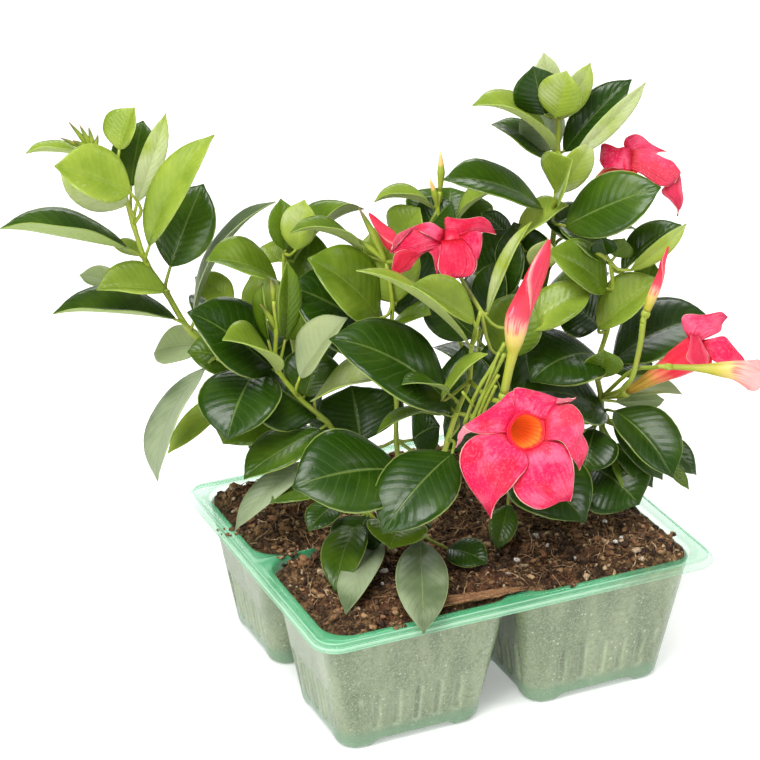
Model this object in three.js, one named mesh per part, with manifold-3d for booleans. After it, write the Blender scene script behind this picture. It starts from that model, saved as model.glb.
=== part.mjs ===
// A pack of four mandevilla plants in a thermoformed 2 x 2 growing tray.
// Millimetres, +Z up. The tray stands on z = 0, and its wide side runs along X.
import * as THREE from 'three';
import { mergeVertices } from 'three/addons/utils/BufferGeometryUtils.js';
import Module from 'manifold-3d';

const wasm = await Module();
wasm.setup();

// ---------------------------------------------------------------- sizes
const tray = {
  width: 210,
  depth: 179,
  height: 71,
  cornerRadius: 12,
  sheet: 1,
  skirtHeight: 5,
  lipHeight: 1.4,
  lipReach: 1.5,
};

const cell = {
  pitchX: 98.4,
  pitchY: 83.6,
  topHalfX: 47.2,
  topHalfY: 39.8,
  bottomHalfX: 36,
  bottomHalfY: 28.5,
  topRadius: 13,
  bottomRadius: 10,
  wall: 0.8,
  archHeight: 2.5,
  archShare: 0.6,
  drainRadius: 5,
};

const rib = {
  perSide: 5,
  pitch: 10.5,
  width: 4,
  proud: 1.1,
  bottom: 8,
  top: 40,
};

const soil = {
  gap: 0.35,
  edgeDrop: 2,
  crown: 5,
  lump: 2.2,
};

const plant = {
  turn: THREE.MathUtils.degToRad(-24.55),
  rootEnd: 42,
  straightTo: 80,
  trunkRadius: 2,
  branchRadius: 1.4,
  tipRadius: 1,
  petioleRadius: 0.9,
  bladeThickness: 1.3,
  petalThickness: 1.4,
  pedicelRadius: 1.1,
};

const colours = {
  tray: 0x6fcf97,
  soil: 0x4a3020,
  leaf: 0x3f6b22,
  petal: 0xf23a66,
  bud: 0xe8758a,
};

// ---------------------------------------------------------------- solids
function signedVolume(points, faces) {
  let sum = 0;
  for (const [a, b, c] of faces) {
    sum += points[a].dot(new THREE.Vector3().crossVectors(points[b], points[c]));
  }
  return sum / 6;
}

// A closed solid through rings of equal point count, with a fan on each end.
function loft(rings) {
  const count = rings[0].length;
  const points = rings.flat();
  const faces = [];
  for (let r = 0; r < rings.length - 1; r += 1) {
    for (let i = 0; i < count; i += 1) {
      const j = (i + 1) % count;
      const a = r * count + i;
      const b = r * count + j;
      const c = a + count;
      const d = b + count;
      faces.push([a, b, d], [a, d, c]);
    }
  }
  const last = (rings.length - 1) * count;
  for (let i = 1; i < count - 1; i += 1) {
    faces.push([0, i + 1, i], [last, last + i, last + i + 1]);
  }
  return solid(points, faces);
}

function solid(points, faces) {
  const outward = signedVolume(points, faces) > 0;
  const geometry = new THREE.BufferGeometry().setFromPoints(points);
  geometry.setIndex(faces.flatMap(([a, b, c]) => (outward ? [a, b, c] : [a, c, b])));
  return toManifold(geometry);
}

function toManifold(geometry) {
  const bare = geometry.clone();
  bare.deleteAttribute('normal');
  bare.deleteAttribute('uv');
  const merged = mergeVertices(bare, 1e-4);
  const mesh = new wasm.Mesh({
    numProp: 3,
    vertProperties: new Float32Array(merged.attributes.position.array),
    triVerts: new Uint32Array(merged.index.array),
  });
  return new wasm.Manifold(mesh);
}

function joined(pieces) {
  return pieces.reduce((whole, piece) => whole.add(piece));
}

function asMesh(name, manifold, colour, roughness) {
  const { vertProperties, triVerts } = manifold.getMesh();
  const geometry = new THREE.BufferGeometry();
  geometry.setAttribute('position', new THREE.BufferAttribute(new Float32Array(vertProperties), 3));
  geometry.setIndex([...triVerts]);
  geometry.computeVertexNormals();
  const material = new THREE.MeshStandardMaterial({ color: colour, roughness, metalness: 0 });
  const mesh = new THREE.Mesh(geometry, material);
  mesh.name = name;
  return mesh;
}

const vec = (p) => new THREE.Vector3(...p);

// ---------------------------------------------------------------- tray
function roundedRing(x, y, halfX, halfY, radius, z, steps = 3) {
  const ring = [];
  for (let corner = 0; corner < 4; corner += 1) {
    const signX = corner === 0 || corner === 3 ? 1 : -1;
    const signY = corner < 2 ? 1 : -1;
    for (let i = 0; i <= steps; i += 1) {
      const angle = (corner + i / steps) * Math.PI / 2;
      ring.push(new THREE.Vector3(
        x + signX * (halfX - radius) + radius * Math.cos(angle),
        y + signY * (halfY - radius) + radius * Math.sin(angle),
        z,
      ));
    }
  }
  return ring;
}

// The cell's outline at a height, drawn in from its outer wall.
function cellRing(x, y, z, inset) {
  const share = z / tray.height;
  const lerp = THREE.MathUtils.lerp;
  return roundedRing(
    x,
    y,
    lerp(cell.bottomHalfX, cell.topHalfX, share) - inset,
    lerp(cell.bottomHalfY, cell.topHalfY, share) - inset,
    lerp(cell.bottomRadius, cell.topRadius, share) - inset,
    z,
  );
}

const cells = [];
for (const [row, signY] of [['front', -1], ['back', 1]]) {
  for (const [column, signX] of [['left', -1], ['right', 1]]) {
    cells.push({
      name: `${row}_${column}`,
      x: signX * cell.pitchX / 2,
      y: signY * cell.pitchY / 2,
    });
  }
}

function box(sizeX, sizeY, sizeZ, x, y, z) {
  const geometry = new THREE.BoxGeometry(sizeX, sizeY, sizeZ);
  geometry.translate(x, y, z);
  return toManifold(geometry);
}

// One upright rib on a sloping wall: a wedge with its back inside the wall.
function wallRib(place, along, side) {
  const ring = (z, proud) => {
    const share = z / tray.height;
    const halfX = THREE.MathUtils.lerp(cell.bottomHalfX, cell.topHalfX, share);
    const halfY = THREE.MathUtils.lerp(cell.bottomHalfY, cell.topHalfY, share);
    const reach = side % 2 === 0 ? halfY : halfX;
    const corners = [[-rib.width / 2, -0.3], [0, proud], [rib.width / 2, -0.3]];
    return corners.map(([across, out]) => {
      const u = along + across;
      const v = reach + out;
      const turned = [[u, v], [-v, u], [-u, -v], [v, -u]][side];
      return new THREE.Vector3(place.x + turned[0], place.y + turned[1], z);
    });
  };
  return loft([ring(rib.bottom, rib.proud), ring(rib.top, rib.proud)]);
}

function makeTray() {
  const { width, depth, height, cornerRadius, sheet, skirtHeight, lipHeight, lipReach } = tray;
  const edge = (inset, z) => roundedRing(
    0, 0, width / 2 - inset, depth / 2 - inset, cornerRadius - inset, z);
  let shell = joined([
    loft([edge(lipReach, height), edge(lipReach, height - skirtHeight)]),
    loft([
      edge(0, height - skirtHeight + lipHeight),
      edge(0, height - skirtHeight),
    ]),
  ]);
  shell = shell.subtract(loft([
    edge(lipReach + sheet, height - sheet),
    edge(lipReach + sheet, height - skirtHeight - 1),
  ]));
  const cuts = [];
  for (const place of cells) {
    shell = shell.add(loft([
      cellRing(place.x, place.y, 0, 0),
      cellRing(place.x, place.y, height - sheet / 2, 0),
    ]));
    const outerSides = [place.y > 0 ? 0 : 2, place.x > 0 ? 3 : 1];
    for (const side of outerSides) {
      for (let i = 0; i < rib.perSide; i += 1) {
        const along = (i - (rib.perSide - 1) / 2) * rib.pitch;
        shell = shell.add(wallRib(place, along, side));
      }
    }
    const channelX = cell.bottomHalfX * 2 * cell.archShare;
    const channelY = cell.bottomHalfY * 2 * cell.archShare;
    const arch = cell.archHeight;
    cuts.push(
      box(channelX, cell.pitchY - 1, arch * 2, place.x, place.y, 0),
      box(cell.pitchX - 1, channelY, arch * 2, place.x, place.y, 0),
      loft([
        cellRing(place.x, place.y, arch + cell.wall, cell.wall),
        cellRing(place.x, place.y, height + 1, cell.wall),
      ]),
    );
    const drain = new THREE.CylinderGeometry(cell.drainRadius, cell.drainRadius, 12, 12);
    drain.rotateX(Math.PI / 2);
    drain.translate(place.x, place.y, arch);
    cuts.push(toManifold(drain));
  }
  return shell.subtract(joined(cuts));
}

// ---------------------------------------------------------------- soil
function randomFrom(seed) {
  let state = seed;
  return () => {
    state = (state * 1664525 + 1013904223) % 4294967296;
    return state / 4294967296;
  };
}

function makeSoil(place, seed, holes) {
  const random = randomFrom(seed);
  const bottom = cell.archHeight + cell.wall + soil.gap;
  const edgeHeight = tray.height - soil.edgeDrop;
  const inset = cell.wall + soil.gap;
  const rings = [cellRing(place.x, place.y, bottom, inset)];
  const rim = cellRing(place.x, place.y, edgeHeight, inset);
  rings.push(rim);
  for (const share of [0.82, 0.6, 0.36, 0.12]) {
    const rise = soil.edgeDrop + soil.crown * (1 - share * share);
    rings.push(rim.map((point) => new THREE.Vector3(
      place.x + (point.x - place.x) * share,
      place.y + (point.y - place.y) * share,
      edgeHeight + rise + (random() - 0.5) * 2 * soil.lump * Math.min(1, share * 2),
    )));
  }
  let plug = loft(rings);
  for (const hole of holes) {
    const radius = plant.trunkRadius + soil.gap;
    const depth = tray.height + 30 - plant.rootEnd;
    const drill = new THREE.CylinderGeometry(radius, radius, depth, 10);
    drill.rotateX(Math.PI / 2);
    drill.translate(hole.x, hole.y, plant.rootEnd - soil.gap + depth / 2);
    plug = plug.subtract(toManifold(drill));
  }
  return plug;
}

// ---------------------------------------------------------------- blades
// A thin blade from base to tip. face is the way its upper side looks, fold is the rise of each
// half in degrees, arch bends the midrib, and profile lists [place along, share of half width].
const leafProfile = [[0, 0.06], [0.28, 0.9], [0.66, 0.9], [1, 0.03]];
const petalProfile = [[0, 0.3], [0.35, 0.72], [0.72, 1], [1, 0.1]];

function blade(base, tip, width, face, fold, arch, profile, thickness, from) {
  const axis = tip.clone().sub(base);
  const length = axis.length();
  axis.normalize();
  const normal = face.clone().addScaledVector(axis, -face.dot(axis)).normalize();
  const side = new THREE.Vector3().crossVectors(axis, normal);
  const middle = base.clone().lerp(tip, 0.5).addScaledVector(normal, 2 * arch * length);
  const midrib = new THREE.QuadraticBezierCurve3(base, middle, tip);
  const rise = THREE.MathUtils.degToRad(fold);
  const rings = profile.map(([along, share]) => {
    const centre = midrib.getPoint(along);
    const up = new THREE.Vector3().crossVectors(side, midrib.getTangent(along));
    const half = Math.max(width / 2 * share, thickness / 2);
    const out = side.clone().multiplyScalar(half * Math.cos(rise));
    const lift = up.clone().multiplyScalar(half * Math.sin(rise));
    return [
      centre.clone().sub(out).add(lift),
      centre.clone().addScaledVector(up, thickness / 2),
      centre.clone().add(out).add(lift),
      centre.clone().addScaledVector(up, -thickness / 2),
    ];
  });
  if (from) {
    rings.unshift(petioleRing(from, base, side));
  }
  return loft(rings);
}

// The petiole's end in the stem: a small square across the way to the blade.
function petioleRing(from, base, side) {
  const along = base.clone().sub(from).normalize();
  const across = side.clone().addScaledVector(along, -side.dot(along)).normalize();
  const up = new THREE.Vector3().crossVectors(across, along);
  const radius = plant.petioleRadius;
  return [
    from.clone().addScaledVector(across, -radius),
    from.clone().addScaledVector(up, radius),
    from.clone().addScaledVector(across, radius),
    from.clone().addScaledVector(up, -radius),
  ];
}

// A closed solid swept through points, with its own radius at each.
function sweep(points, radii, sides) {
  const normal = new THREE.Vector3(1, 0.2, 0.1);
  const last = points.length - 1;
  return loft(points.map((centre, i) => {
    const along = points[Math.min(i + 1, last)].clone().sub(points[Math.max(i - 1, 0)]).normalize();
    normal.addScaledVector(along, -normal.dot(along)).normalize();
    const binormal = new THREE.Vector3().crossVectors(along, normal);
    return Array.from({ length: sides }, (_, k) => {
      const angle = k / sides * Math.PI * 2;
      return centre.clone()
        .addScaledVector(normal, radii[i] * Math.cos(angle))
        .addScaledVector(binormal, radii[i] * Math.sin(angle));
    });
  }));
}

// A stem through points, thinning from its foot to its end.
function stalk(points, startRadius, endRadius, sides) {
  const last = points.length - 1;
  const radii = points.map((_, i) => THREE.MathUtils.lerp(startRadius, endRadius, i / last));
  return sweep(points, radii, sides);
}

// ---------------------------------------------------------------- shoots
// The plants are laid out in a frame turned about Z: [across, back, up] in millimetres.
// stem: the shoot's nodes from its foot up. A shoot whose foot is on another shoot starts there.
// leaves: [stem node, blade base, tip, width, face, fold in degrees, arch].
// tips: [stem node, point, width], the small shut buds and young leaf pairs at a shoot's end.
const shoots = {
  tallLeft: {
    plant: 'back_left',
    rooted: true,
    stem: [
      [-62, 18, 68], [-70, 24, 103], [-98, 26, 138], [-123, 20, 163], [-135, 16, 187],
      [-143, 12, 203], [-148, 8, 224], [-154, 6, 248], [-165, 2, 262],
    ],
    leaves: [
      [7, [-156, 6, 261], [-146, 12, 281], 17, [-0.2, -0.8, 0.5], 22, 0.05],
      [6, [-153, 4, 235], [-180, -12, 261], 44, [0.1, -0.1, 1], 34, 0],
      [6, [-147, 10, 233], [-132, 18, 276], 40, [-0.9, -0.2, 0.4], 36, 0.05],
      [8, [-169, 2, 261], [-195, -4, 265], 18, [0, 0.1, 1], 34, 0.04],
      [5, [-151, 8, 212], [-209, -2, 228], 40, [0, 0.1, 1], 38, 0],
      [5, [-139, 4, 215], [-109, -2, 273], 32, [-0.8, -0.5, 0.4], 22, 0.12],
      [4, [-132, 14, 200], [-119, 30, 238], 40, [-0.1, -0.9, 0.3], 14, 0.04],
      [4, [-133, 8, 191], [-163, -20, 204], 38, [-0.1, -0.1, 1], 12, 0.1],
      [4, [-156, 30, 184], [-178, 34, 188], 16, [0, -0.3, 0.9], 14, 0.04],
      [3, [-130, 16, 172], [-188, 6, 181], 38, [0, 0, 1], 34, 0.02],
      [5, [-146, 16, 205], [-160, 30, 207], 10, [0, -0.5, 0.9], 20, 0.05],
      [3, [-122, 18, 170], [-83, 30, 229], 32, [-0.9, 0, 0.5], 28, 0.1],
    ],
    tips: [
      [8, [-170, 0, 278], 3],
      [8, [-165, 1, 276], 3],
      [8, [-174, -2, 272], 3],
    ],
  },
  leftSide: {
    plant: 'back_left',
    stem: [[-70, 24, 103], [-85, 20, 126], [-97, 10, 146], [-111, 8, 155]],
    leaves: [
      [3, [-116, 24, 154], [-144, 34, 146], 24, [0, -0.5, 0.9], 14, 0.1],
      [2, [-100, 16, 148], [-125, 12, 157], 26, [0, -0.5, 0.9], 14, 0.1],
      [3, [-116, 4, 152], [-139, -36, 111], 36, [-0.7, -0.3, 0.6], 14, 0.12],
      [2, [-102, 20, 133], [-136, 2, 107], 14, [-0.3, -0.7, 0.7], 16, 0.06],
      [2, [-91, 0, 153], [-104, -36, 133], 42, [-0.2, -0.6, 0.7], 12, 0.1],
      [1, [-89, 14, 127], [-108, -6, 116], 34, [-0.2, -0.7, 0.7], 12, 0.1],
    ],
  },
  lowLeft: {
    plant: 'back_left',
    stem: [
      [-62, 18, 78], [-53, 2, 113], [-57, -4, 126], [-71, -8, 142], [-81, -8, 158],
      [-81, -8, 177], [-82, -8, 192],
    ],
    leaves: [
      [4, [-83, -2, 153], [-122, -10, 188], 42, [0.3, -0.5, 0.8], 16, 0.06],
      [2, [-62, -4, 129], [-92, 4, 146], 46, [0.3, -0.6, 0.8], 10, 0.1],
      [1, [-71, 12, 117], [-97, 10, 106], 34, [-0.1, -0.7, 0.8], 10, 0.1],
      [2, [-60, -8, 125], [-97, -34, 112], 26, [-0.3, -0.2, 0.9], 16, 0.04],
      [3, [-81, -10, 156], [-105, -26, 181], 32, [-0.1, -0.2, 1], 30, 0.1],
      [3, [-70, -16, 156], [-48, -20, 189], 30, [-0.6, -0.5, 0.6], 32, 0.04],
      [3, [-68, -4, 140], [-60, 10, 159], 30, [-0.1, -0.8, 0.6], 12, 0.08],
      [2, [-64, -6, 139], [-25, -30, 160], 36, [0, 0, 1], 20, 0.04],
      [4, [-85, -5, 170], [-88, -4, 199], 13, [-0.8, -0.5, 0.3], 24, 0.04],
      [4, [-77, -5, 170], [-75, -6, 211], 13, [0.5, -0.8, 0.4], 24, 0.04],
      [1, [-62, -14, 110], [-102, -36, 86], 20, [-0.6, 0, 0.8], 14, 0.12],
      [1, [-60, -20, 98], [-84, -38, 101], 18, [0, -0.2, 1], 12, 0.1],
    ],
    tips: [
      [6, [-83, -10, 204], 3],
      [5, [-88, -12, 192], 3],
    ],
  },
  midLeft: {
    plant: 'back_left',
    stem: [
      [-62, 18, 78], [-64, 26, 102], [-70, 28, 128], [-75, 26, 159], [-78, 24, 184],
      [-78, 22, 204],
    ],
    leaves: [
      [4, [-82, 16, 191], [-114, -6, 213], 34, [-0.1, -0.1, 1], 16, 0.14],
      [5, [-79, 28, 203], [-83, 44, 223], 26, [-0.3, -0.9, 0.4], 16, 0.02],
      [5, [-77, 15, 208], [-68, 20, 233], 34, [-0.1, -0.9, 0.3], 14, 0.05],
      [5, [-74, 24, 198], [-40, 40, 221], 38, [-0.5, 0, 0.9], 36, 0.1],
      [5, [-64, 40, 207], [-72, 30, 187], 24, [0.2, -0.8, 0.6], 12, 0.1],
      [5, [-80, 26, 198], [-89, 34, 203], 18, [0, -0.5, 0.9], 20, 0.05],
      [3, [-103, 30, 175], [-122, 36, 188], 20, [0, -0.6, 0.8], 14, 0.05],
      [3, [-82, 26, 168], [-93, 34, 187], 26, [-0.2, -0.8, 0.6], 14, 0.05],
      [3, [-69, 20, 159], [-73, 28, 178], 32, [0, -0.9, 0.5], 14, 0.06],
    ],
  },
  frontMain: {
    plant: 'front_left',
    rooted: true,
    stem: [
      [-23, -29, 68], [-16, -33, 84], [-10, -37, 101], [-4, -40, 120], [0, -36, 133],
      [4, -30, 144], [10, -26, 159], [11, -24, 176], [15, -22, 193],
    ],
    leaves: [
      [7, [10, -26, 177], [-42, -38, 222], 22, [0.5, 0.2, 0.8], 30, 0.06],
      [7, [8, -29, 189], [-18, -49, 221], 28, [0.3, -0.4, 0.8], 16, 0.04],
      [8, [18, -20, 190], [37, -14, 235], 16, [-0.9, 0, 0.3], 26, 0.05],
      [8, [21, -12, 167], [31, -8, 205], 34, [-0.3, -0.8, 0.5], 12, 0.05],
      [5, [2, -30, 146], [-55, -40, 188], 46, [0.3, -0.4, 0.9], 10, 0.12],
      [5, [0, -42, 160], [-22, -54, 171], 18, [0, 0.1, 1], 24, 0.08],
      [6, [-4, -36, 152], [17, -40, 180], 20, [-0.8, 0, 0.6], 26, 0.04],
      [5, [2, -32, 143], [-34, -44, 141], 16, [-0.1, 0.2, 1], 20, 0.14],
      [4, [4, -20, 140], [-15, -12, 140], 20, [0, -0.2, 1], 12, 0.1],
      [3, [-22, -50, 124], [-72, -80, 131], 40, [0, -0.6, 0.8], 8, 0.1],
      [4, [2, -52, 134], [-31, -88, 111], 37, [-0.2, -0.7, 0.7], 8, 0.1],
      [1, [-21, -38, 91], [-27, -62, 89], 30, [-0.1, -0.6, 0.8], 12, 0.1],
      [1, [-13, -50, 87], [-12, -114, 75], 26, [0, -0.7, 0.7], 10, 0.04],
      [1, [0, -44, 79], [19, -58, 79], 18, [0, -0.5, 0.9], 10, 0.1],
    ],
  },
  frontLow: {
    plant: 'front_left',
    stem: [[-23, -29, 78], [-29, -34, 83], [-38, -32, 92], [-48, -28, 96]],
    leaves: [
      [2, [-38, -34, 91], [-46, -52, 79], 28, [-0.2, -0.7, 0.7], 14, 0.1],
      [2, [-43, -36, 89], [-53, -79, 76], 22, [-0.2, -0.7, 0.7], 16, 0.1],
      [1, [-32, -42, 82], [-48, -99, 76], 19, [-0.3, -0.6, 0.7], 16, 0.06],
      [3, [-52, -32, 97], [-66, -50, 92], 16, [-0.1, -0.5, 0.9], 12, 0.1],
    ],
  },
  frontRear: {
    plant: 'front_left',
    stem: [
      [-23, -29, 78], [-21, -12, 88], [-24, 2, 114], [-24, 8, 134], [-27, 8, 162],
      [-26, 8, 183], [-29, 8, 205],
    ],
    leaves: [
      [6, [-40, 11, 208], [-74, 1, 224], 24, [0, 0.1, 1], 34, 0.12],
      [4, [-28, 12, 162], [-75, 4, 195], 50, [0.1, -0.5, 0.9], 10, 0.06],
      [5, [-32, 4, 177], [-65, -10, 215], 44, [0.2, -0.5, 0.8], 16, 0.12],
      [4, [-30, 6, 168], [-8, -6, 185], 30, [-0.1, 0, 1], 12, 0.12],
      [5, [-24, 10, 183], [-34, 18, 219], 34, [-0.1, -0.9, 0.5], 14, 0.05],
      [2, [-41, 4, 112], [-46, 18, 136], 48, [0, -0.9, 0.5], 10, 0.05],
      [2, [-16, 0, 115], [-3, -2, 124], 34, [0, -0.5, 0.9], 10, 0.1],
    ],
    tips: [
      [6, [-42, 10, 232], 4],
      [6, [-37, 10, 223], 3],
      [6, [-44, 8, 218], 3],
    ],
  },
  rightMain: {
    plant: 'front_right',
    rooted: true,
    stem: [
      [78, 20, 68], [79, 22, 95], [77, 18, 117], [76, 14, 131], [73, 12, 148],
      [77, 10, 168], [79, 8, 191], [77, 6, 206],
    ],
    leaves: [
      [7, [83, 8, 198], [113, 8, 223], 32, [-0.6, 0, 0.8], 34, 0.1],
      [7, [76, 12, 203], [52, 20, 221], 34, [0.3, -0.1, 0.9], 14, 0.1],
      [7, [75, 5, 210], [72, 2, 220], 14, [-0.3, -0.8, 0.6], 16, 0.03],
      [7, [79, 5, 209], [83, 3, 219], 14, [0.2, -0.8, 0.6], 16, 0.03],
      [6, [76, 4, 195], [43, -10, 217], 36, [0.1, -0.3, 0.9], 16, 0.12],
      [5, [77, 6, 171], [101, 0, 200], 38, [-0.4, -0.7, 0.6], 18, -0.05],
      [6, [92, 10, 189], [99, 14, 202], 14, [0, -0.8, 0.6], 10, 0.1],
      [4, [73, 8, 156], [39, -16, 154], 44, [0.1, -0.3, 1], 10, 0.18],
      [4, [74, -6, 151], [74, -12, 168], 20, [0, -0.8, 0.6], 14, 0],
      [4, [81, 16, 149], [131, 26, 168], 48, [-0.2, -0.2, 1], 12, 0.12],
      [5, [74, 16, 168], [55, 20, 181], 34, [0.1, -0.5, 0.8], 10, 0.08],
      [4, [81, 14, 145], [101, 18, 148], 22, [0, -0.2, 1], 10, 0.08],
      [3, [83, 12, 133], [117, 22, 130], 20, [0, -0.1, 1], 14, 0.14],
      [3, [84, 20, 126], [109, 30, 123], 16, [0, -0.3, 0.9], 14, 0],
      [2, [79, 10, 124], [35, -6, 143], 44, [0, -0.3, 1], 10, 0.12],
      [2, [82, 6, 128], [109, -22, 106], 38, [0.3, -0.6, 0.7], 12, 0.12],
      [2, [97, 22, 109], [126, 18, 87], 18, [0.3, -0.5, 0.8], 12, 0.08],
      [2, [103, 12, 103], [121, 8, 82], 12, [0.2, -0.5, 0.8], 14, 0.04],
      [2, [84, 6, 121], [105, -16, 101], 20, [0.7, -0.4, 0.6], 20, 0.12],
      [1, [82, 8, 104], [93, -10, 87], 14, [0.6, -0.5, 0.6], 20, 0.1],
      [2, [75, 0, 122], [69, -18, 110], 34, [-0.1, -0.7, 0.7], 14, 0.1],
      [1, [73, 2, 99], [94, -16, 88], 42, [0.1, -0.7, 0.7], 10, 0.12],
    ],
    tips: [
      [7, [64, 4, 216], 3],
    ],
  },
  tallRight: {
    plant: 'back_right',
    rooted: true,
    stem: [
      [27, 58, 68], [36, 50, 113], [45, 42, 160], [51, 34, 201], [52, 30, 223],
      [52, 26, 254], [51, 24, 273], [44, 22, 284],
    ],
    leaves: [
      [4, [46, 26, 225], [-2, 8, 248], 34, [0.3, -0.2, 0.9], 16, 0.12],
      [3, [32, 40, 203], [17, 40, 218], 14, [0, -0.5, 0.9], 14, 0.05],
      [6, [50, 20, 274], [58, 14, 298], 38, [-0.1, -0.8, 0.5], 18, 0],
      [6, [54, 28, 271], [64, 34, 294], 24, [0.6, -0.7, 0.4], 24, 0.04],
      [6, [45, 24, 273], [39, 20, 298], 26, [-0.1, -0.9, 0.5], 14, 0.04],
      [6, [49, 34, 272], [45, 38, 299], 14, [0, -0.9, 0.4], 14, 0.03],
      [5, [50, 22, 255], [11, 10, 284], 36, [0.4, 0, 0.9], 28, 0.12],
      [5, [52, 32, 253], [37, 40, 271], 24, [0.1, -0.8, 0.6], 14, 0.04],
      [5, [49, 30, 248], [21, 36, 265], 34, [0.4, -0.2, 0.9], 14, 0.1],
      [5, [58, 24, 254], [88, 28, 290], 38, [-0.8, -0.1, 0.6], 36, 0.14],
      [4, [52, 15, 238], [67, 11, 265], 42, [-0.7, -0.2, 0.7], 32, 0.02],
      [4, [55, 8, 225], [99, -8, 248], 40, [-0.2, -0.2, 1], 10, 0.03],
      [3, [34, 20, 210], [57, 20, 230], 30, [-0.5, -0.1, 0.9], 30, 0.04],
      [3, [61, 38, 208], [95, 52, 204], 26, [0, 0, 1], 14, 0.1],
      [2, [41, 32, 163], [70, 6, 193], 36, [-0.2, -0.1, 1], 14, 0.12],
    ],
    tips: [
      [7, [42, 22, 295], 3],
    ],
  },
  midRight: {
    plant: 'back_right',
    stem: [
      [27, 58, 78], [18, 54, 111], [5, 50, 156], [0, 46, 190], [-4, 42, 218], [-3, 42, 228],
    ],
    leaves: [
      [5, [-6, 44, 218], [-35, 40, 224], 22, [0, 0.1, 1], 34, 0.12],
      [3, [-23, 40, 201], [-13, 38, 221], 26, [-0.3, -0.7, 0.7], 18, 0.05],
      [4, [-10, 40, 206], [3, 44, 222], 26, [-0.2, -0.5, 0.8], 16, 0.08],
      [3, [1, 54, 205], [3, 66, 221], 44, [0, -0.8, 0.6], 10, 0.05],
      [4, [6, 48, 211], [31, 46, 229], 26, [-0.5, 0, 0.9], 32, 0.1],
      [3, [-7, 40, 171], [-20, 31, 197], 42, [0.1, -0.7, 0.7], 10, 0.05],
    ],
    tips: [
      [5, [-3, 42, 247], 3.5],
      [5, [-8, 40, 234], 3],
    ],
  },
  backInner: {
    plant: 'back_right',
    stem: [[18, 54, 111], [17, 36, 149], [18, 32, 175]],
    leaves: [
      [1, [18, 22, 163], [26, 18, 202], 22, [-0.5, -0.7, 0.5], 14, 0.05],
      [2, [19, 30, 180], [34, 24, 214], 34, [-0.4, -0.7, 0.6], 12, 0.06],
    ],
  },
  backLow: {
    plant: 'back_right',
    stem: [[27, 58, 78], [30, 30, 84], [31, 8, 98], [30, -4, 91]],
    leaves: [
      [2, [35, 0, 100], [66, -42, 93], 40, [-0.1, -0.4, 0.9], 10, 0.1],
      [3, [30, -20, 90], [24, -41, 77], 14, [0, -0.8, 0.6], 14, 0.08],
    ],
  },
};

// Leaves on the far side: a pair at each listed node, thrown back and out by a seeded draw.
const farLeaves = {
  seed: 11,
  shoots: { tallLeft: [2], midLeft: [2], tallRight: [1, 2], midRight: [2] },
  petiole: 9,
  length: [38, 50],
  widthShare: 0.6,
  spread: 65,
};

// ---------------------------------------------------------------- blooms and buds
// throat and root are the two ends of the flower's tube, petals are [tip, width].
// stalk lists the pedicel's points from the shoot's stem node to the root.
const blooms = {
  front: {
    shoot: 'frontMain',
    node: 5,
    stalk: [[14, -26, 140]],
    throat: [35, -66, 152],
    root: [25, -26, 138],
    petals: [
      [[19, -72, 109], 31], [[52, -70, 114], 29], [[64, -58, 136], 27],
      [[49, -56, 168], 30], [[7, -66, 154], 24],
    ],
  },
  upper_left: {
    shoot: 'frontMain',
    node: 8,
    stalk: [[9, 4, 194]],
    throat: [1, -7, 223],
    root: [4, 19, 199],
    petals: [
      [[-25, -16, 208], 20], [[-21, 6, 221], 22], [[5, -27, 213], 22],
      [[15, -19, 213], 16], [[23, -1, 224], 26],
    ],
  },
  upper_right: {
    shoot: 'tallRight',
    node: 4,
    stalk: [[60, 36, 218]],
    throat: [86, 25, 247],
    root: [68, 35, 223],
    petals: [
      [[103, 27, 253], 22], [[108, 17, 225], 24], [[112, 37, 234], 20],
      [[70, 19, 257], 20], [[88, 14, 249], 24],
    ],
  },
  right: {
    shoot: 'rightMain',
    node: 3,
    stalk: [],
    throat: [119, -8, 166],
    root: [88, 6, 138],
    petals: [
      [[133, -6, 183], 22], [[110, -8, 184], 18], [[118, -15, 159], 14],
      [[136, -14, 155], 24], [[143, 8, 158], 20],
    ],
  },
};

// body lists [point, width] along the shut flower.
const buds = {
  front: {
    shoot: 'frontMain',
    node: 6,
    stalk: [[18, -42, 158]],
    body: [
      [[25, -56, 167], 3], [[29, -56, 191], 6], [[30, -56, 204], 11], [[36, -54, 219], 8],
      [[44, -50, 240], 1],
    ],
  },
  right: {
    shoot: 'rightMain',
    node: 3,
    stalk: [[90, -8, 156]],
    body: [
      [[92, -12, 184], 3], [[95, -12, 196], 4], [[99, -12, 205], 5], [[102, -12, 221], 1],
    ],
  },
  lying: {
    shoot: 'rightMain',
    node: 3,
    stalk: [[89, 0, 152], [97, -18, 162]],
    body: [
      [[105, -26, 166], 3], [[120, -28, 166], 4], [[133, -30, 167], 8],
      [[141, -32, 165], 11], [[147, -32, 164], 4],
    ],
  },
  left: {
    shoot: 'frontRear',
    node: 6,
    stalk: [],
    body: [[[-23, 2, 213], 3], [[-28, 2, 220], 7], [[-37, 0, 233], 1]],
  },
};

const flower = {
  seatGap: 0.35,
  calyxLength: 5,
  calyxRadius: 2.4,
  rootRadius: 1.5,
  neckRadius: 2.4,
  mouthRadius: 8.5,
  wall: 0.8,
  petalFold: 6,
  petalArch: 0.08,
};

function stemPoints(shoot) {
  const points = shoot.stem.map(vec);
  if (shoot.rooted) {
    const foot = points[0];
    points.splice(0, 1, new THREE.Vector3(foot.x, foot.y, plant.rootEnd),
      new THREE.Vector3(foot.x, foot.y, plant.straightTo));
  }
  return points;
}

function makeStem(shoot) {
  const points = stemPoints(shoot);
  const radius = shoot.rooted ? plant.trunkRadius : plant.branchRadius;
  return stalk(points, radius, plant.tipRadius, 4);
}

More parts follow.
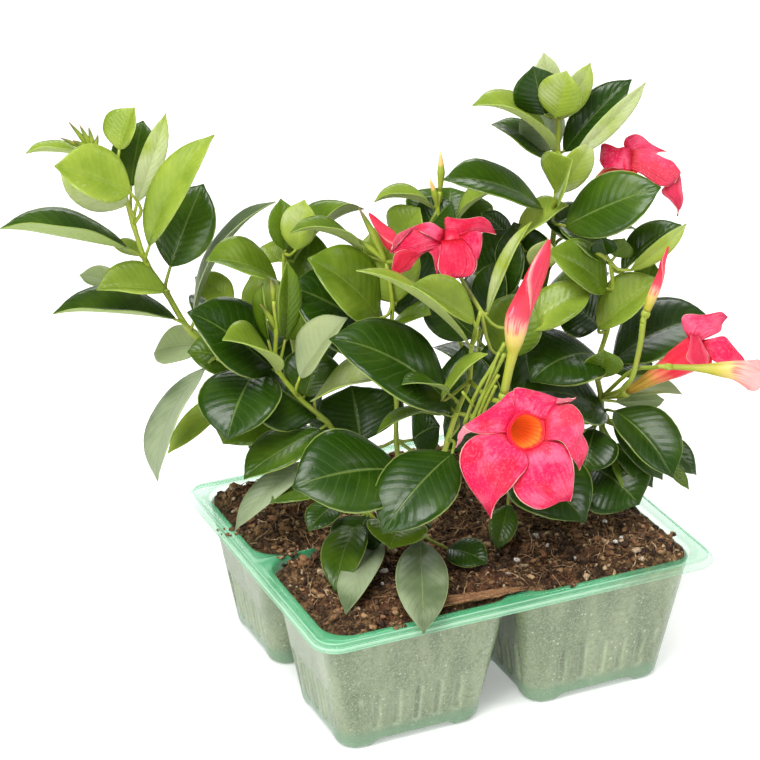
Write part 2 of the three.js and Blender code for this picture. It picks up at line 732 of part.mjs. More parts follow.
function makeLeaf(stem, [node, base, tip, width, face, fold, arch]) {
  return blade(vec(base), vec(tip), width, vec(face), fold, arch, leafProfile, plant.bladeThickness,
    vec(stem[node]));
}

function farSideLeaves(name, shoot, random) {
  const rule = farLeaves;
  const nodes = rule.shoots[name] ?? [];
  return nodes.flatMap((node) => [-1, 1].map((hand) => {
    const from = vec(shoot.stem[node]);
    const angle = THREE.MathUtils.degToRad(90 + hand * rule.spread * (0.4 + 0.6 * random()));
    const out = new THREE.Vector3(Math.cos(angle), Math.sin(angle), 0.15 + 0.35 * random());
    const length = THREE.MathUtils.lerp(...rule.length, random());
    const base = from.clone().addScaledVector(out, rule.petiole);
    const tip = base.clone().addScaledVector(out, length);
    const face = [0.2 * hand, 0, 1];
    return makeLeaf(shoot.stem, [
      node, base.toArray(), tip.toArray(), length * rule.widthShare, face, 14, 0.12,
    ]);
  }));
}

function makeTip(stem, [node, point, width]) {
  const foot = vec(stem[node]);
  const end = vec(point);
  const points = [foot, foot.clone().lerp(end, 0.45), end];
  return sweep(points, [width * 0.25, width * 0.5, 0.3], 4);
}

// The green stalk of a bloom or bud, with the small cup that its tube stands in.
function makePedicel(stem, item, root, direction) {
  const seat = root.clone().addScaledVector(direction, -flower.seatGap);
  const cupFoot = seat.clone().addScaledVector(direction, -flower.calyxLength);
  const points = [vec(stem[item.node]), ...item.stalk.map(vec), cupFoot];
  return joined([
    stalk(points, plant.pedicelRadius, plant.pedicelRadius, 4),
    stalk([cupFoot.clone().addScaledVector(direction, -1.5), seat], 1.2, flower.calyxRadius, 5),
  ]);
}

function bloomDirection(bloom) {
  return vec(bloom.throat).sub(vec(bloom.root)).normalize();
}

function budDirection(bud) {
  return vec(bud.body[1][0]).sub(vec(bud.body[0][0])).normalize();
}

function makeBloom(bloom) {
  const root = vec(bloom.root);
  const throat = vec(bloom.throat);
  const axis = bloomDirection(bloom);
  const across = new THREE.Vector3(0, 0, 1).cross(axis).normalize();
  const upward = new THREE.Vector3().crossVectors(axis, across);
  const ring = (along, radius) => {
    const centre = root.clone().lerp(throat, along);
    return Array.from({ length: 8 }, (_, k) => {
      const angle = k / 8 * Math.PI * 2;
      return centre.clone()
        .addScaledVector(across, radius * Math.cos(angle))
        .addScaledVector(upward, radius * Math.sin(angle));
    });
  };
  const { rootRadius, neckRadius, mouthRadius, wall } = flower;
  const tube = loft([
    ring(0, rootRadius),
    ring(0.4, neckRadius),
    ring(1, mouthRadius),
    ring(1, mouthRadius - wall),
    ring(0.6, neckRadius),
  ]);
  const petals = bloom.petals.map(([point, width]) => {
    const tip = vec(point);
    const out = tip.clone().sub(throat);
    out.addScaledVector(axis, -out.dot(axis)).normalize();
    const base = throat.clone().addScaledVector(out, mouthRadius - 1.2).addScaledVector(axis, -0.6);
    return blade(base, tip, width, axis, flower.petalFold, flower.petalArch, petalProfile,
      plant.petalThickness);
  });
  return joined([tube, ...petals]);
}

function makeBud(bud) {
  return sweep(bud.body.map(([point]) => vec(point)), bud.body.map(([, width]) => width / 2), 8);
}

// ---------------------------------------------------------------- assembly
const model = new THREE.Group();
const plants = new THREE.Group();
plants.rotation.z = plant.turn;

const trunks = new Map(cells.map((place) => [place.name, []]));
for (const shoot of Object.values(shoots)) {
  if (shoot.rooted) {
    const foot = vec(shoot.stem[0]).applyAxisAngle(new THREE.Vector3(0, 0, 1), plant.turn);
    trunks.get(shoot.plant).push(foot);
  }
}

model.add(asMesh('tray', makeTray(), colours.tray, 0.25));
cells.forEach((place, index) => {
  const plug = makeSoil(place, 5 + index, trunks.get(place.name));
  model.add(asMesh(`soil_${place.name}`, plug, colours.soil, 0.95));
});

const random = randomFrom(farLeaves.seed);
for (const place of cells) {
  const pieces = [];
  for (const [name, shoot] of Object.entries(shoots)) {
    if (shoot.plant !== place.name) {
      continue;
    }
    pieces.push(makeStem(shoot));
    pieces.push(...shoot.leaves.map((leaf) => makeLeaf(shoot.stem, leaf)));
    pieces.push(...(shoot.tips ?? []).map((tip) => makeTip(shoot.stem, tip)));
    pieces.push(...farSideLeaves(name, shoot, random));
    for (const bloom of Object.values(blooms).filter((item) => item.shoot === name)) {
      pieces.push(makePedicel(shoot.stem, bloom, vec(bloom.root), bloomDirection(bloom)));
    }
    for (const bud of Object.values(buds).filter((item) => item.shoot === name)) {
      pieces.push(makePedicel(shoot.stem, bud, vec(bud.body[0][0]), budDirection(bud)));
    }
  }
  plants.add(asMesh(`vine_${place.name}`, joined(pieces), colours.leaf, 0.4));
}
for (const [name, bloom] of Object.entries(blooms)) {
  plants.add(asMesh(`bloom_${name}`, makeBloom(bloom), colours.petal, 0.6));
}
for (const [name, bud] of Object.entries(buds)) {
  plants.add(asMesh(`bud_${name}`, makeBud(bud), colours.bud, 0.5));
}
model.add(plants);

// The origin is under the middle of the whole part's box.
model.updateMatrixWorld(true);
const middle = new THREE.Box3().setFromObject(model, true).getCenter(new THREE.Vector3());
model.position.set(-middle.x, -middle.y, 0);

const root = new THREE.Group();
root.add(model);

export default root;
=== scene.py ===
# Mandevilla plants in a four-cell growing tray, in metres.
import bpy
import bmesh
import math
from mathutils import Matrix, Vector, noise
from mathutils.geometry import interpolate_bezier


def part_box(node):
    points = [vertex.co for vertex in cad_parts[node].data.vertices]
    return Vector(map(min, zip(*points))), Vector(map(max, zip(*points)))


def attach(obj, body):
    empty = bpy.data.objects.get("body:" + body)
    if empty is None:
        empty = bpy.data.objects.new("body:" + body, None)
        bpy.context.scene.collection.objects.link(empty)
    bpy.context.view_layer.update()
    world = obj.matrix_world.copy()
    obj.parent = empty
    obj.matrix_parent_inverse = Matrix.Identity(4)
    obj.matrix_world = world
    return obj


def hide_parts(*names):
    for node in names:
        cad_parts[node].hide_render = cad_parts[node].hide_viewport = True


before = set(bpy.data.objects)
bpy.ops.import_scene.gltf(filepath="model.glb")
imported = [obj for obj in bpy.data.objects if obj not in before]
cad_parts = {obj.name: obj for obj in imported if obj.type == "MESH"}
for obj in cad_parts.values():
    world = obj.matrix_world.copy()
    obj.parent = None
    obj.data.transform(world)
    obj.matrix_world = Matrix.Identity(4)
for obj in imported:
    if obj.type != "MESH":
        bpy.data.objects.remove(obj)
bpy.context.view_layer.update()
trayLow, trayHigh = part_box("tray")
trayCentre = (trayLow + trayHigh) / 2

mm = 0.001
plantTurn = -24.55  # degrees, the same as the camera's
trayToRow = Matrix.Translation((trayCentre.x, trayCentre.y, 0)) @ Matrix.Scale(mm, 4)
plantsToRow = trayToRow @ Matrix.Rotation(math.radians(plantTurn), 4, "Z")  # plants are laid out as [across, back, up]

scene = bpy.context.scene
scene.view_settings.view_transform = "Standard"


def drawFrom(seed):  # the same run of numbers each time
    state = seed
    while True:
        state = (state * 1664525 + 1013904223) % 4294967296
        yield state / 4294967296


def blendTo(a, b, share):
    return a + (b - a) * share


def smooth(low, high, value):
    share = min(max((value - low) / (high - low), 0), 1)
    return share * share * (3 - 2 * share)


# camera
cameraSetup = dict(place=(-506.3, -1031.6, 683.7), tilt=64.96, turn=plantTurn, lens=125.0, sensor=36)

cameraData = bpy.data.cameras.new("camera")
cameraData.lens = cameraSetup["lens"]
cameraData.sensor_width = cameraSetup["sensor"]
camera = bpy.data.objects.new("camera", cameraData)
camera.location = trayToRow @ Vector(cameraSetup["place"])
camera.rotation_euler = (math.radians(cameraSetup["tilt"]), 0, math.radians(cameraSetup["turn"]))
scene.collection.objects.link(camera)
scene.camera = camera


# materials
class Link:  # a node's output that can be reckoned with
    def __init__(self, paint, socket):
        self.paint = paint
        self.socket = socket

    def maths(self, operation, other, swap=False):
        pair = [other, self] if swap else [self, other]
        return self.paint.node("Math", {"operation": operation}, {0: pair[0], 1: pair[1]})

    def __add__(self, other):
        return self.maths("ADD", other)

    def __radd__(self, other):
        return self.maths("ADD", other, True)

    def __sub__(self, other):
        return self.maths("SUBTRACT", other)

    def __rsub__(self, other):
        return self.maths("SUBTRACT", other, True)

    def __mul__(self, other):
        return self.maths("MULTIPLY", other)

    def __rmul__(self, other):
        return self.maths("MULTIPLY", other, True)


class Paint:  # one material and its nodes
    def __init__(self, name):
        self.material = bpy.data.materials.new(name)
        self.material.use_nodes = True
        self.tree = self.material.node_tree
        self.tree.nodes.clear()
        self.end = self.tree.nodes.new("ShaderNodeOutputMaterial")

    def node(self, kind, settings=None, values=None, output=0):
        made = self.tree.nodes.new("ShaderNode" + kind)
        for name, value in (settings or {}).items():
            if name == "stops":
                first, *rest = value
                ramp = made.color_ramp.elements
                ramp.remove(ramp[1])
                ramp[0].position, ramp[0].color = first[0], (*first[1], 1)
                for place, colour in rest:
                    ramp.new(place).color = (*colour, 1)
            else:
                setattr(made, name, value)
        for name, value in (values or {}).items():
            if isinstance(value, Link):
                self.tree.links.new(value.socket, made.inputs[name])
            else:
                made.inputs[name].default_value = value
        return Link(self, made.outputs[output])

    def blend(self, share, a, b, way="MIX"):  # two colours
        a = a if isinstance(a, Link) else (*a, 1)
        b = b if isinstance(b, Link) else (*b, 1)
        return self.node("Mix", {"data_type": "RGBA", "blend_type": way}, {0: share, 6: a, 7: b}, 2)

    def ramp(self, value, stops):
        return self.node("ValToRGB", {"stops": stops}, {0: value})

    def ease(self, value, low, high, toLow=0, toHigh=1):  # smooth step from low to high
        settings = {"interpolation_type": "SMOOTHSTEP"}
        return self.node("MapRange", settings, {0: value, 1: low, 2: high, 3: toLow, 4: toHigh})

    def fall(self, value, low, high):  # 1 below low, 0 above high
        return self.ease(value, low, high, 1, 0)

    def attribute(self, name):
        return self.node("Attribute", {"attribute_name": name}, output=2)

    def place(self):
        return self.node("TexCoord", output=3)

    def grain(self, scale, detail=3, place=None, rough=0.5):
        values = {0: place or self.place(), "Scale": scale, "Detail": detail, "Roughness": rough}
        return self.node("TexNoise", None, values)

    def streaks(self, along, around, scale, detail=3):  # long marks down a blade or a tube
        return self.grain(scale, detail, self.node("CombineXYZ", None, {0: along, 1: around}))

    def bladePlace(self):  # how far along a blade, how far across it, and how far out from its midrib
        place = self.node("SeparateXYZ", None, {0: self.node("UVMap", {"uv_map": "blade"})})
        across = Link(self, place.socket.node.outputs[1])
        return place, across, (across * 2 - 1).maths("ABSOLUTE", 0)

    def principled(self, **values):
        return self.node("BsdfPrincipled", None, {name.replace("_", " "): v for name, v in values.items()})

    def glow(self, colour):
        return self.node("BsdfTranslucent", None, {"Color": (*colour, 1)})

    def mixShader(self, share, a, b):
        return self.node("MixShader", None, {0: share, 1: a, 2: b})

    def surface(self, shader):
        self.tree.links.new(shader.socket, self.end.inputs[0])
        return self.material

    # relief is a height with its distance and strength, through is a share of light and its colour
    def skin(self, colour, roughness, relief, through=None, **values):
        height, distance, strength = relief
        normal = self.node("Bump", None, {"Height": height, "Distance": distance, "Strength": strength})
        shine = self.principled(Base_Color=colour, Roughness=roughness, Normal=normal, **values)
        if through:
            shine = self.mixShader(through[0], shine, self.glow(through[1]))
        return self.surface(shine)


# Colours as (place, colour): leaves, stems and crumbs by tone, soil by its noise value, and tubes and
# buds by the share of their length.
stops = dict(
    leafUpper=[
        (0.0, (0.013, 0.042, 0.001)), (0.2, (0.034, 0.08, 0.003)), (0.45, (0.105, 0.18, 0.008)),
        (0.75, (0.26, 0.36, 0.04)), (0.87, (0.37, 0.47, 0.06)), (1.0, (0.58, 0.64, 0.32))],
    leafUnder=[
        (0.0, (0.24, 0.33, 0.09)), (0.45, (0.38, 0.47, 0.13)), (0.75, (0.5, 0.6, 0.18)),
        (1.0, (0.72, 0.78, 0.42))],
    stem=[(0.0, (0.15, 0.09, 0.03)), (0.35, (0.13, 0.19, 0.02)), (1.0, (0.3, 0.38, 0.03))],
    tube=[
        (0.0, (0.3, 0.38, 0.03)), (0.25, (0.6, 0.53, 0.08)), (0.38, (0.85, 0.32, 0.15)),
        (0.5, (0.82, 0.04, 0.08)), (1.0, (0.76, 0.01, 0.06))],
    throat=[
        (0.0, (0.5, 0.06, 0.006)), (0.3, (0.8, 0.13, 0.012)), (0.6, (0.92, 0.22, 0.03)),
        (0.74, (0.92, 0.2, 0.025)), (0.82, (0.86, 0.05, 0.03)), (0.9, (0.74, 0.002, 0.035)),
        (1.0, (0.68, 0.0, 0.035))],
    bud=[
        (0.0, (0.26, 0.33, 0.02)), (0.26, (0.44, 0.4, 0.03)), (0.38, (0.68, 0.5, 0.14)),
        (0.47, (0.93, 0.36, 0.26)), (0.54, (0.82, 0.05, 0.1)), (1.0, (0.76, 0.02, 0.06))],
    soil=[
        (0.36, (0.01, 0.005, 0.003)), (0.47, (0.062, 0.034, 0.016)), (0.55, (0.24, 0.13, 0.055)),
        (0.63, (0.46, 0.29, 0.14)), (0.73, (0.6, 0.45, 0.3))],
    crumb=[
        (0.0, (0.016, 0.008, 0.005)), (0.25, (0.07, 0.04, 0.022)), (0.45, (0.23, 0.125, 0.056)),
        (0.6, (0.32, 0.155, 0.07)), (0.78, (0.52, 0.36, 0.18)), (0.93, (0.6, 0.46, 0.31)),
        (1.0, (0.85, 0.82, 0.76))],
)


def leafPaint(name, under):
    p = Paint(name)
    tone = p.attribute("tone")
    along, _, out = p.bladePlace()
    wander = p.grain(60, 2)
    patch = p.grain(30)
    fine = p.grain(500, 4)
    quilt = (along * 11 - out * 2.8 + wander * 0.6).maths("PINGPONG", 0.5)
    veins = p.fall(quilt, 0.0, 0.09) * p.fall(out, 0.7, 0.95)
    midrib = p.fall(out, 0.012, 0.045) * (1 - along * 0.5)
    edge = p.ease(out, 0.955, 0.985)
    if under:
        colour = p.ramp(tone + (patch - 0.5) * 0.15, stops["leafUnder"])
        colour = p.blend(veins * 0.25, colour, (0.5, 0.6, 0.25))
        colour = p.blend(midrib * 0.8, colour, (0.6, 0.68, 0.3))
        height = veins * 0.4 + midrib * 1.3 + patch * 0.6 + fine * 0.3
        rough = fine * 0.2 + 0.45
    else:
        colour = p.ramp(tone + (patch - 0.5) * 0.45 + (wander - 0.5) * 0.25, stops["leafUpper"])
        colour = p.blend(veins * 0.2, colour, p.blend(0.25, colour, (0.5, 0.62, 0.2)))
        colour = p.blend(veins * p.ease(tone, 0.3, 0.7) * 0.3, colour, (0.12, 0.22, 0.01))
        colour = p.blend(midrib * 0.45, colour, p.blend(0.5, colour, (0.45, 0.6, 0.15)))
        height = quilt * 0.33 + patch * 1.5 + fine * 0.15 - midrib * 0.7
        rough = fine * 0.1 + patch * 0.25 + 0.11
    colour = p.blend(edge * 0.7, colour, p.blend(0.6, colour, (0.5, 0.62, 0.16)))
    colour = p.blend(p.ease(fine, 0.45, 0.7) * 0.15, colour, (0.3, 0.4, 0.2), "MULTIPLY")
    paintedSheen = p.fall(tone, -0.3, -0.1) + p.ease(tone, 1.05, 1.3)  # tones past either end of the ramp get a painted grey sheen, a painted reflection
    sheenPatches = p.ease(patch - veins * 0.1, 0.3, 0.62, 0.15, 0.65)
    # the painted sheen turns patches of the blade towards a pale grey-green
    colour = p.blend(paintedSheen * sheenPatches, colour, (0.34, 0.4, 0.24))
    through = (0.06 + tone * 0.3, (0.27, 0.42, 0.008))
    return p.skin(colour, rough + paintedSheen * 0.15, (height, 0.0011, 0.5), through, Specular_IOR_Level=0.29)


def stemPaint(name):
    p = Paint(name)
    tone = p.attribute("tone")
    mottle = p.grain(240, 4)
    colour = p.blend(p.ease(mottle, 0.5, 0.7) * 0.4, p.ramp(tone, stops["stem"]), (0.34, 0.25, 0.06))
    colour = p.blend(p.ease(tone, 1.2, 1.6), colour, (0.85, 0.5, 0.16))  # ends of the shoot tips
    height = mottle * 0.6 + p.grain(900, 2) * 0.3
    return p.skin(colour, 0.42 + mottle * 0.15, (height, 0.0004, 0.5))


def petalPaint(name, under):
    p = Paint(name)
    tone = p.attribute("tone")
    along, across, out = p.bladePlace()
    streak = p.streaks(along * 1.1, across * 11, 1.5)
    cloud = p.grain(95, 4)
    satin = p.grain(900)
    if under:
        colour = p.blend(p.ease(out, 0.45, 0.95) * 0.4 + streak * 0.2, (0.7, 0.01, 0.07), (1.0, 0.26, 0.36))
    else:
        # paler streaks are the petal's own; the paler clouds are painted highlights
        paleAndHighlit = p.ease(streak * 0.3 + cloud * 0.7, 0.44, 0.62) * 0.62
        colour = p.blend(paleAndHighlit, (0.84, 0.008, 0.09), (1.0, 0.18, 0.32))
        # darker red patches: painted shade
        colour = p.blend(p.ease(p.grain(60, 2, rough=0.3), 0.5, 0.62) * 0.7, colour, (0.68, 0.001, 0.03))
        colour = p.blend(p.ease(satin, 0.5, 0.68) * 0.22, colour, (1.0, 0.3, 0.42))
        colour = p.blend(p.fall(along + streak * 0.06, 0.04, 0.2), colour, (0.62, 0.0, 0.015))
    # a sheet's tone paints its light and shade: painted shade of deep red below 0.5, painted highlight of pale pink
    # above
    colour = p.blend(p.ease(tone, 0.0, 0.5, 0.8, 0), colour, (0.55, 0.0, 0.012))
    colour = p.blend(p.ease(tone, 0.5, 1.0) * 0.75, colour, (1.0, 0.5, 0.55))
    colour = p.blend(p.ease(out, 0.955, 0.99) * p.ease(along, 0.2, 0.45) * 0.8, colour, (1.0, 0.66, 0.52))
    relief = (streak * 1.6 + cloud * 1.4 + satin * 0.2, 0.0014, 0.7)
    return p.skin(colour, 0.45 + satin * 0.15, relief, (0.2, (0.95, 0.015, 0.1)), Specular_IOR_Level=0.3)


def tubePaint(name, colours, ribs, ribShare, ribColour, through, light=0.0):  # with fine ribs down the tube
    p = Paint(name)
    along = p.attribute("along")
    around = p.attribute("around")
    streak = p.streaks(along * 2, around * 9, 3.0)
    rib = (around * ribs).maths("PINGPONG", 0.5) * 2
    inner = p.fall(along, 0.7, 0.8)
    colour = p.ramp(along + (streak - 0.5) * 0.22, colours)
    colour = p.blend(p.ease(rib, 0.3, 0.9) * inner * ribShare, colour, ribColour)
    relief = (rib * inner + streak * 0.5, 0.0005, 0.6)
    # light makes the tube glow with its own colour: a painted glow
    return p.skin(colour, 0.4, relief, (0.25, through), Emission_Color=colour, Emission_Strength=light)


def budPaint(name):  # petals rolled round each other over a streaked tube
    p = Paint(name)
    along = p.attribute("along")
    around = p.attribute("around")
    lap = (around * woundPetals["laps"] + along * woundPetals["twist"]).maths("FRACT", 0)
    streak = p.streaks(along * 2, around * 14, 2.0, 2)
    stripes = p.ease(streak, 0.42, 0.6) * p.ease(along, 0.36, 0.42) * p.fall(along, 0.5, 0.6)
    upper = p.ease(along, 0.48, 0.6)
    colour = p.blend(stripes * 0.85, p.ramp(along, stops["bud"]), (0.75, 0.04, 0.08))
    # each lap darkens towards the next lap's edge: painted shade under the overlap
    colour = p.blend(upper * p.ease(lap, 0.4, 0.95) * 0.65, colour, (0.5, 0.002, 0.02))
    colour = p.blend(upper * p.fall(lap, 0.0, 0.1) * 0.55, colour, (1.0, 0.5, 0.42))
    colour = p.blend(p.ease(p.attribute("tone"), 0.5, 1) * 0.8, colour, (1.0, 0.62, 0.55))
    return p.skin(colour, 0.42, (lap * upper * 1.5 + streak, 0.0007, 0.6), (0.08, (0.9, 0.15, 0.12)))


def soilPaint(name):
    p = Paint(name)
    coarse = p.grain(190, 5, rough=0.65)
    fine = p.grain(1000, 4, rough=0.7)
    lumps = p.node("TexVoronoi", None, {0: p.place(), "Scale": 500.0})
    # the bump rises with the same noise, so the soil is painted darkest in its low places: painted shade in the
    # hollows, over the peat's own dark and light bits
    colour = p.ramp(coarse * 0.5 + fine * 0.5 - lumps * 0.06 + 0.03, stops["soil"])
    colour = p.blend(p.ease(p.grain(45), 0.5, 0.66) * 0.35, colour, (0.2, 0.06, 0.028))
    height = coarse * 1.2 + fine * 0.9 + lumps * 0.8
    return p.skin(colour, 0.88, (height, 0.003, 1.0), Specular_IOR_Level=0.25)


def crumbPaint(name):
    p = Paint(name)
    fine = p.grain(1100, 4)
    colour = p.ramp(p.attribute("tone"), stops["crumb"])
    colour = p.blend(p.ease(fine, 0.42, 0.62) * 0.55, colour, (0.12, 0.06, 0.032))
    return p.skin(colour, 0.85, (fine, 0.0014, 0.9), Specular_IOR_Level=0.25)


def trayPaint(name):  # the sheet is misty on the walls and clear green on the rim; its bends carry painted highlight lines, and the rim fades to clear towards the right and back as painted glare
    p = Paint(name)
    # bend: painted highlight lines along the rim's bends and the grooves' edges
    bend = p.attribute("tone")
    place = p.place()
    across, back, height = (p.node("SeparateXYZ", None, {0: place}, axis) for axis in range(3))
    rim = p.ease(height, 0.0655, 0.068)
    deck = p.ease(height, 0.0682, 0.0703)
    foot = p.fall(height, 0.006, 0.013)
    cloud = p.grain(30)
    damp = p.grain(420, 5, rough=0.7)
    dew = p.ease(p.grain(1500, 2), 0.6, 0.7)
    beads = p.node("TexVoronoi", None, {0: place, "Scale": 300.0})
    dots = p.fall(beads + p.grain(90, 2) * 0.5, 0.3, 0.42)
    streak = p.grain(110, 3, p.node("CombineXYZ", None, {0: across, 1: back, 2: height * 0.15}))
    wall = p.blend(p.ease(streak * 0.6 + cloud * 0.4, 0.34, 0.66), (0.2, 0.25, 0.14), (0.37, 0.43, 0.26))
    wall = p.blend(p.ease(damp, 0.45, 0.65) * 0.4, wall, (0.12, 0.155, 0.085))
    wall = p.blend(p.ease(p.grain(900, 4, rough=0.7), 0.5, 0.6) * 0.35, wall, (0.52, 0.56, 0.4))
    wall = p.blend(dew * 0.45 + dots * 0.7, wall, (0.7, 0.74, 0.58))
    green = p.blend(p.ease(cloud, 0.3, 0.7), (0.045, 0.34, 0.15), (0.1, 0.46, 0.24))
    green = p.blend(deck, (0.34, 0.7, 0.48), green)
    colour = p.blend(rim, p.blend(foot * 0.65, wall, (0.2, 0.37, 0.23)), green)
    # the bends are painted near white: painted highlights
    colour = p.blend(bend * 0.8, colour, p.blend(rim, (0.62, 0.72, 0.52), (0.8, 1.0, 0.86)))
    # far: the rim turns clearer towards the right and back so the pale floor shows through, as painted glare; the
    # painted highlight lines stay a little more solid
    far = p.ease(across, 0.055, 0.1) + p.ease(back, 0.03, 0.08) * 0.8
    solid = p.node("Clamp", None, {0: 0.66 - rim * 0.3 + rim * deck * 0.22 - rim * far * 0.4 + bend * 0.15})
    relief = {"Height": damp * (1 - rim) + cloud * 0.8, "Distance": 0.0008, "Strength": 0.3}
    sheet = p.principled(
        Base_Color=colour, Roughness=0.14 + damp * 0.1, Normal=p.node("Bump", None, relief), Alpha=solid,
        Coat_Weight=0.4, Coat_Roughness=0.06)
    clear = p.node("BsdfTransparent", None, {"Color": (0.82, 1.0, 0.88, 1)})
    light = p.mixShader(solid, clear, p.glow((0.2, 0.62, 0.34)))
    return p.surface(p.mixShader(0.1 + rim * 0.25, sheet, light))


woundPetals = dict(laps=2, twist=1.6, depth=0.14, start=(0.45, 0.6))  # of a rolled bud

leafUpper = leafPaint("leafUpperSide", False)
leafUnder = leafPaint("leafUnderSide", True)
stemGreen = stemPaint("stemGreen")
petalUpper = petalPaint("petalUpperSide", False)
petalUnder = petalPaint("petalUnderSide", True)
tubeOutside = tubePaint(
    "tubeOutside", stops["tube"], ribs=10, ribShare=0.4, ribColour=(0.5, 0.003, 0.015), through=(0.9, 0.06, 0.05))
# the throat's inside glows a little: painted light
throatInside = tubePaint(
    "throatInside", stops["throat"], ribs=22, ribShare=0.45, ribColour=(1.0, 0.4, 0.09), through=(0.95, 0.14, 0.03),
    light=0.3)
budSkin = budPaint("budSkin")
pottingSoil = soilPaint("pottingSoil")
soilCrumb = crumbPaint("soilCrumb")
clearGreenSheet = trayPaint("clearGreenSheet")
print("materials made")


# shapes shared by the pieces
def newShape():
    bm = bmesh.new()
    for layer in ("tone", "along", "around"):
        bm.verts.layers.float.new(layer)
    bm.loops.layers.uv.new("blade")
    return bm


def addShape(whole, part):  # moves a finished shape into a bigger one
    spare = bpy.data.meshes.new("spare")
    part.to_mesh(spare)
    part.free()
    whole.from_mesh(spare)
    bpy.data.meshes.remove(spare)


def makePiece(name, bm, toRow, materials, nodes, sheet=0, under=0):  # under: step to the underside's material
    bm.transform(toRow)
    mesh = bpy.data.meshes.new(name)
    bm.to_mesh(mesh)
    bm.free()
    mesh.shade_smooth()
    for material in materials:
        mesh.materials.append(material)
    piece = bpy.data.objects.new(name, mesh)
    scene.collection.objects.link(piece)
    if sheet:
        solid = piece.modifiers.new("thickness", "SOLIDIFY")
        solid.thickness = sheet * mm
        solid.offset = -1
        solid.material_offset = under
        solid.material_offset_rim = 0
    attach(piece, "root")
    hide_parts(*nodes)
    return piece


def alongList(stops, place):  # value at a place on a list of (place, value)
    for (a, low), (b, high) in zip(stops, stops[1:]):
        if place <= b:
            return blendTo(low, high, (place - a) / (b - a))
    return stops[-1][1]


def sharesOf(path):
    return [i / (len(path) - 1) for i in range(len(path))]


def smoothPath(points, steps):  # a round curve through points, steps to each span
    points = [Vector(p) for p in points]
    if len(points) < 3:
        return [points[0].lerp(points[-1], i / steps) for i in range(steps + 1)]
    slopes = []
    for i in range(len(points)):
        before, after = points[max(i - 1, 0)], points[min(i + 1, len(points) - 1)]
        slopes.append((after - before).normalized())
    path = []
    for a, b, leaving, arriving in zip(points, points[1:], slopes, slopes[1:]):
        reach = (b - a).length / 3
        path += interpolate_bezier(a, a + leaving * reach, b - arriving * reach, b, steps + 1)[:-1]
    return path + [points[-1]]


def extrude(bm, edges):  # the new points, and the new edges between them
    made = bmesh.ops.extrude_edge_only(bm, edges=edges)["geom"]
    verts = [item for item in made if isinstance(item, bmesh.types.BMVert)]
    fresh = set(verts)
    return verts, [e for e in made if isinstance(e, bmesh.types.BMEdge) and fresh.issuperset(e.verts)]


def addTube(whole, path, radii, sides, tone=0.5, material=0, shapeAt=None, leastRadius=0.02):
    bm = newShape()
    toneLayer, alongLayer, aroundLayer = (bm.verts.layers.float[layer] for layer in ("tone", "along", "around"))
    ring = bmesh.ops.create_circle(bm, segments=sides, radius=1)["verts"]
    edges = list(dict.fromkeys(edge for vert in ring for edge in vert.link_edges))
    for k, vert in enumerate(ring):
        vert[aroundLayer] = k / sides
    bmesh.ops.contextual_create(bm, geom=edges)
    upright = Vector((0.9, 0.3, 0.2))
    before = Matrix.Identity(4)
    last = len(path) - 1
    for i, centre in enumerate(path):
        heading = (path[min(i + 1, last)] - path[max(i - 1, 0)]).normalized()
        upright = (upright - heading * upright.dot(heading)).normalized()
        frameHere = Matrix((upright, heading.cross(upright), heading)).transposed().to_4x4()
        size = max(radii[i], leastRadius)
        here = Matrix.Translation(centre) @ frameHere @ Matrix.Diagonal((size, size, size, 1))
        if i:
            ring, edges = extrude(bm, edges)
        bmesh.ops.transform(bm, matrix=here @ before.inverted(), verts=ring)
        before = here
        for vert in ring:
            vert[alongLayer] = i / last
            vert[toneLayer] = tone(i / last) if callable(tone) else tone
            if shapeAt:  # works on the last ring's shape, so it adds up along the tube
                vert.co = centre + (vert.co - centre) * shapeAt(i / last, vert[aroundLayer])
    bmesh.ops.contextual_create(bm, geom=edges)
    bmesh.ops.recalc_face_normals(bm, faces=bm.faces)
    for face in bm.faces:
        face.material_index = material
    addShape(whole, bm)


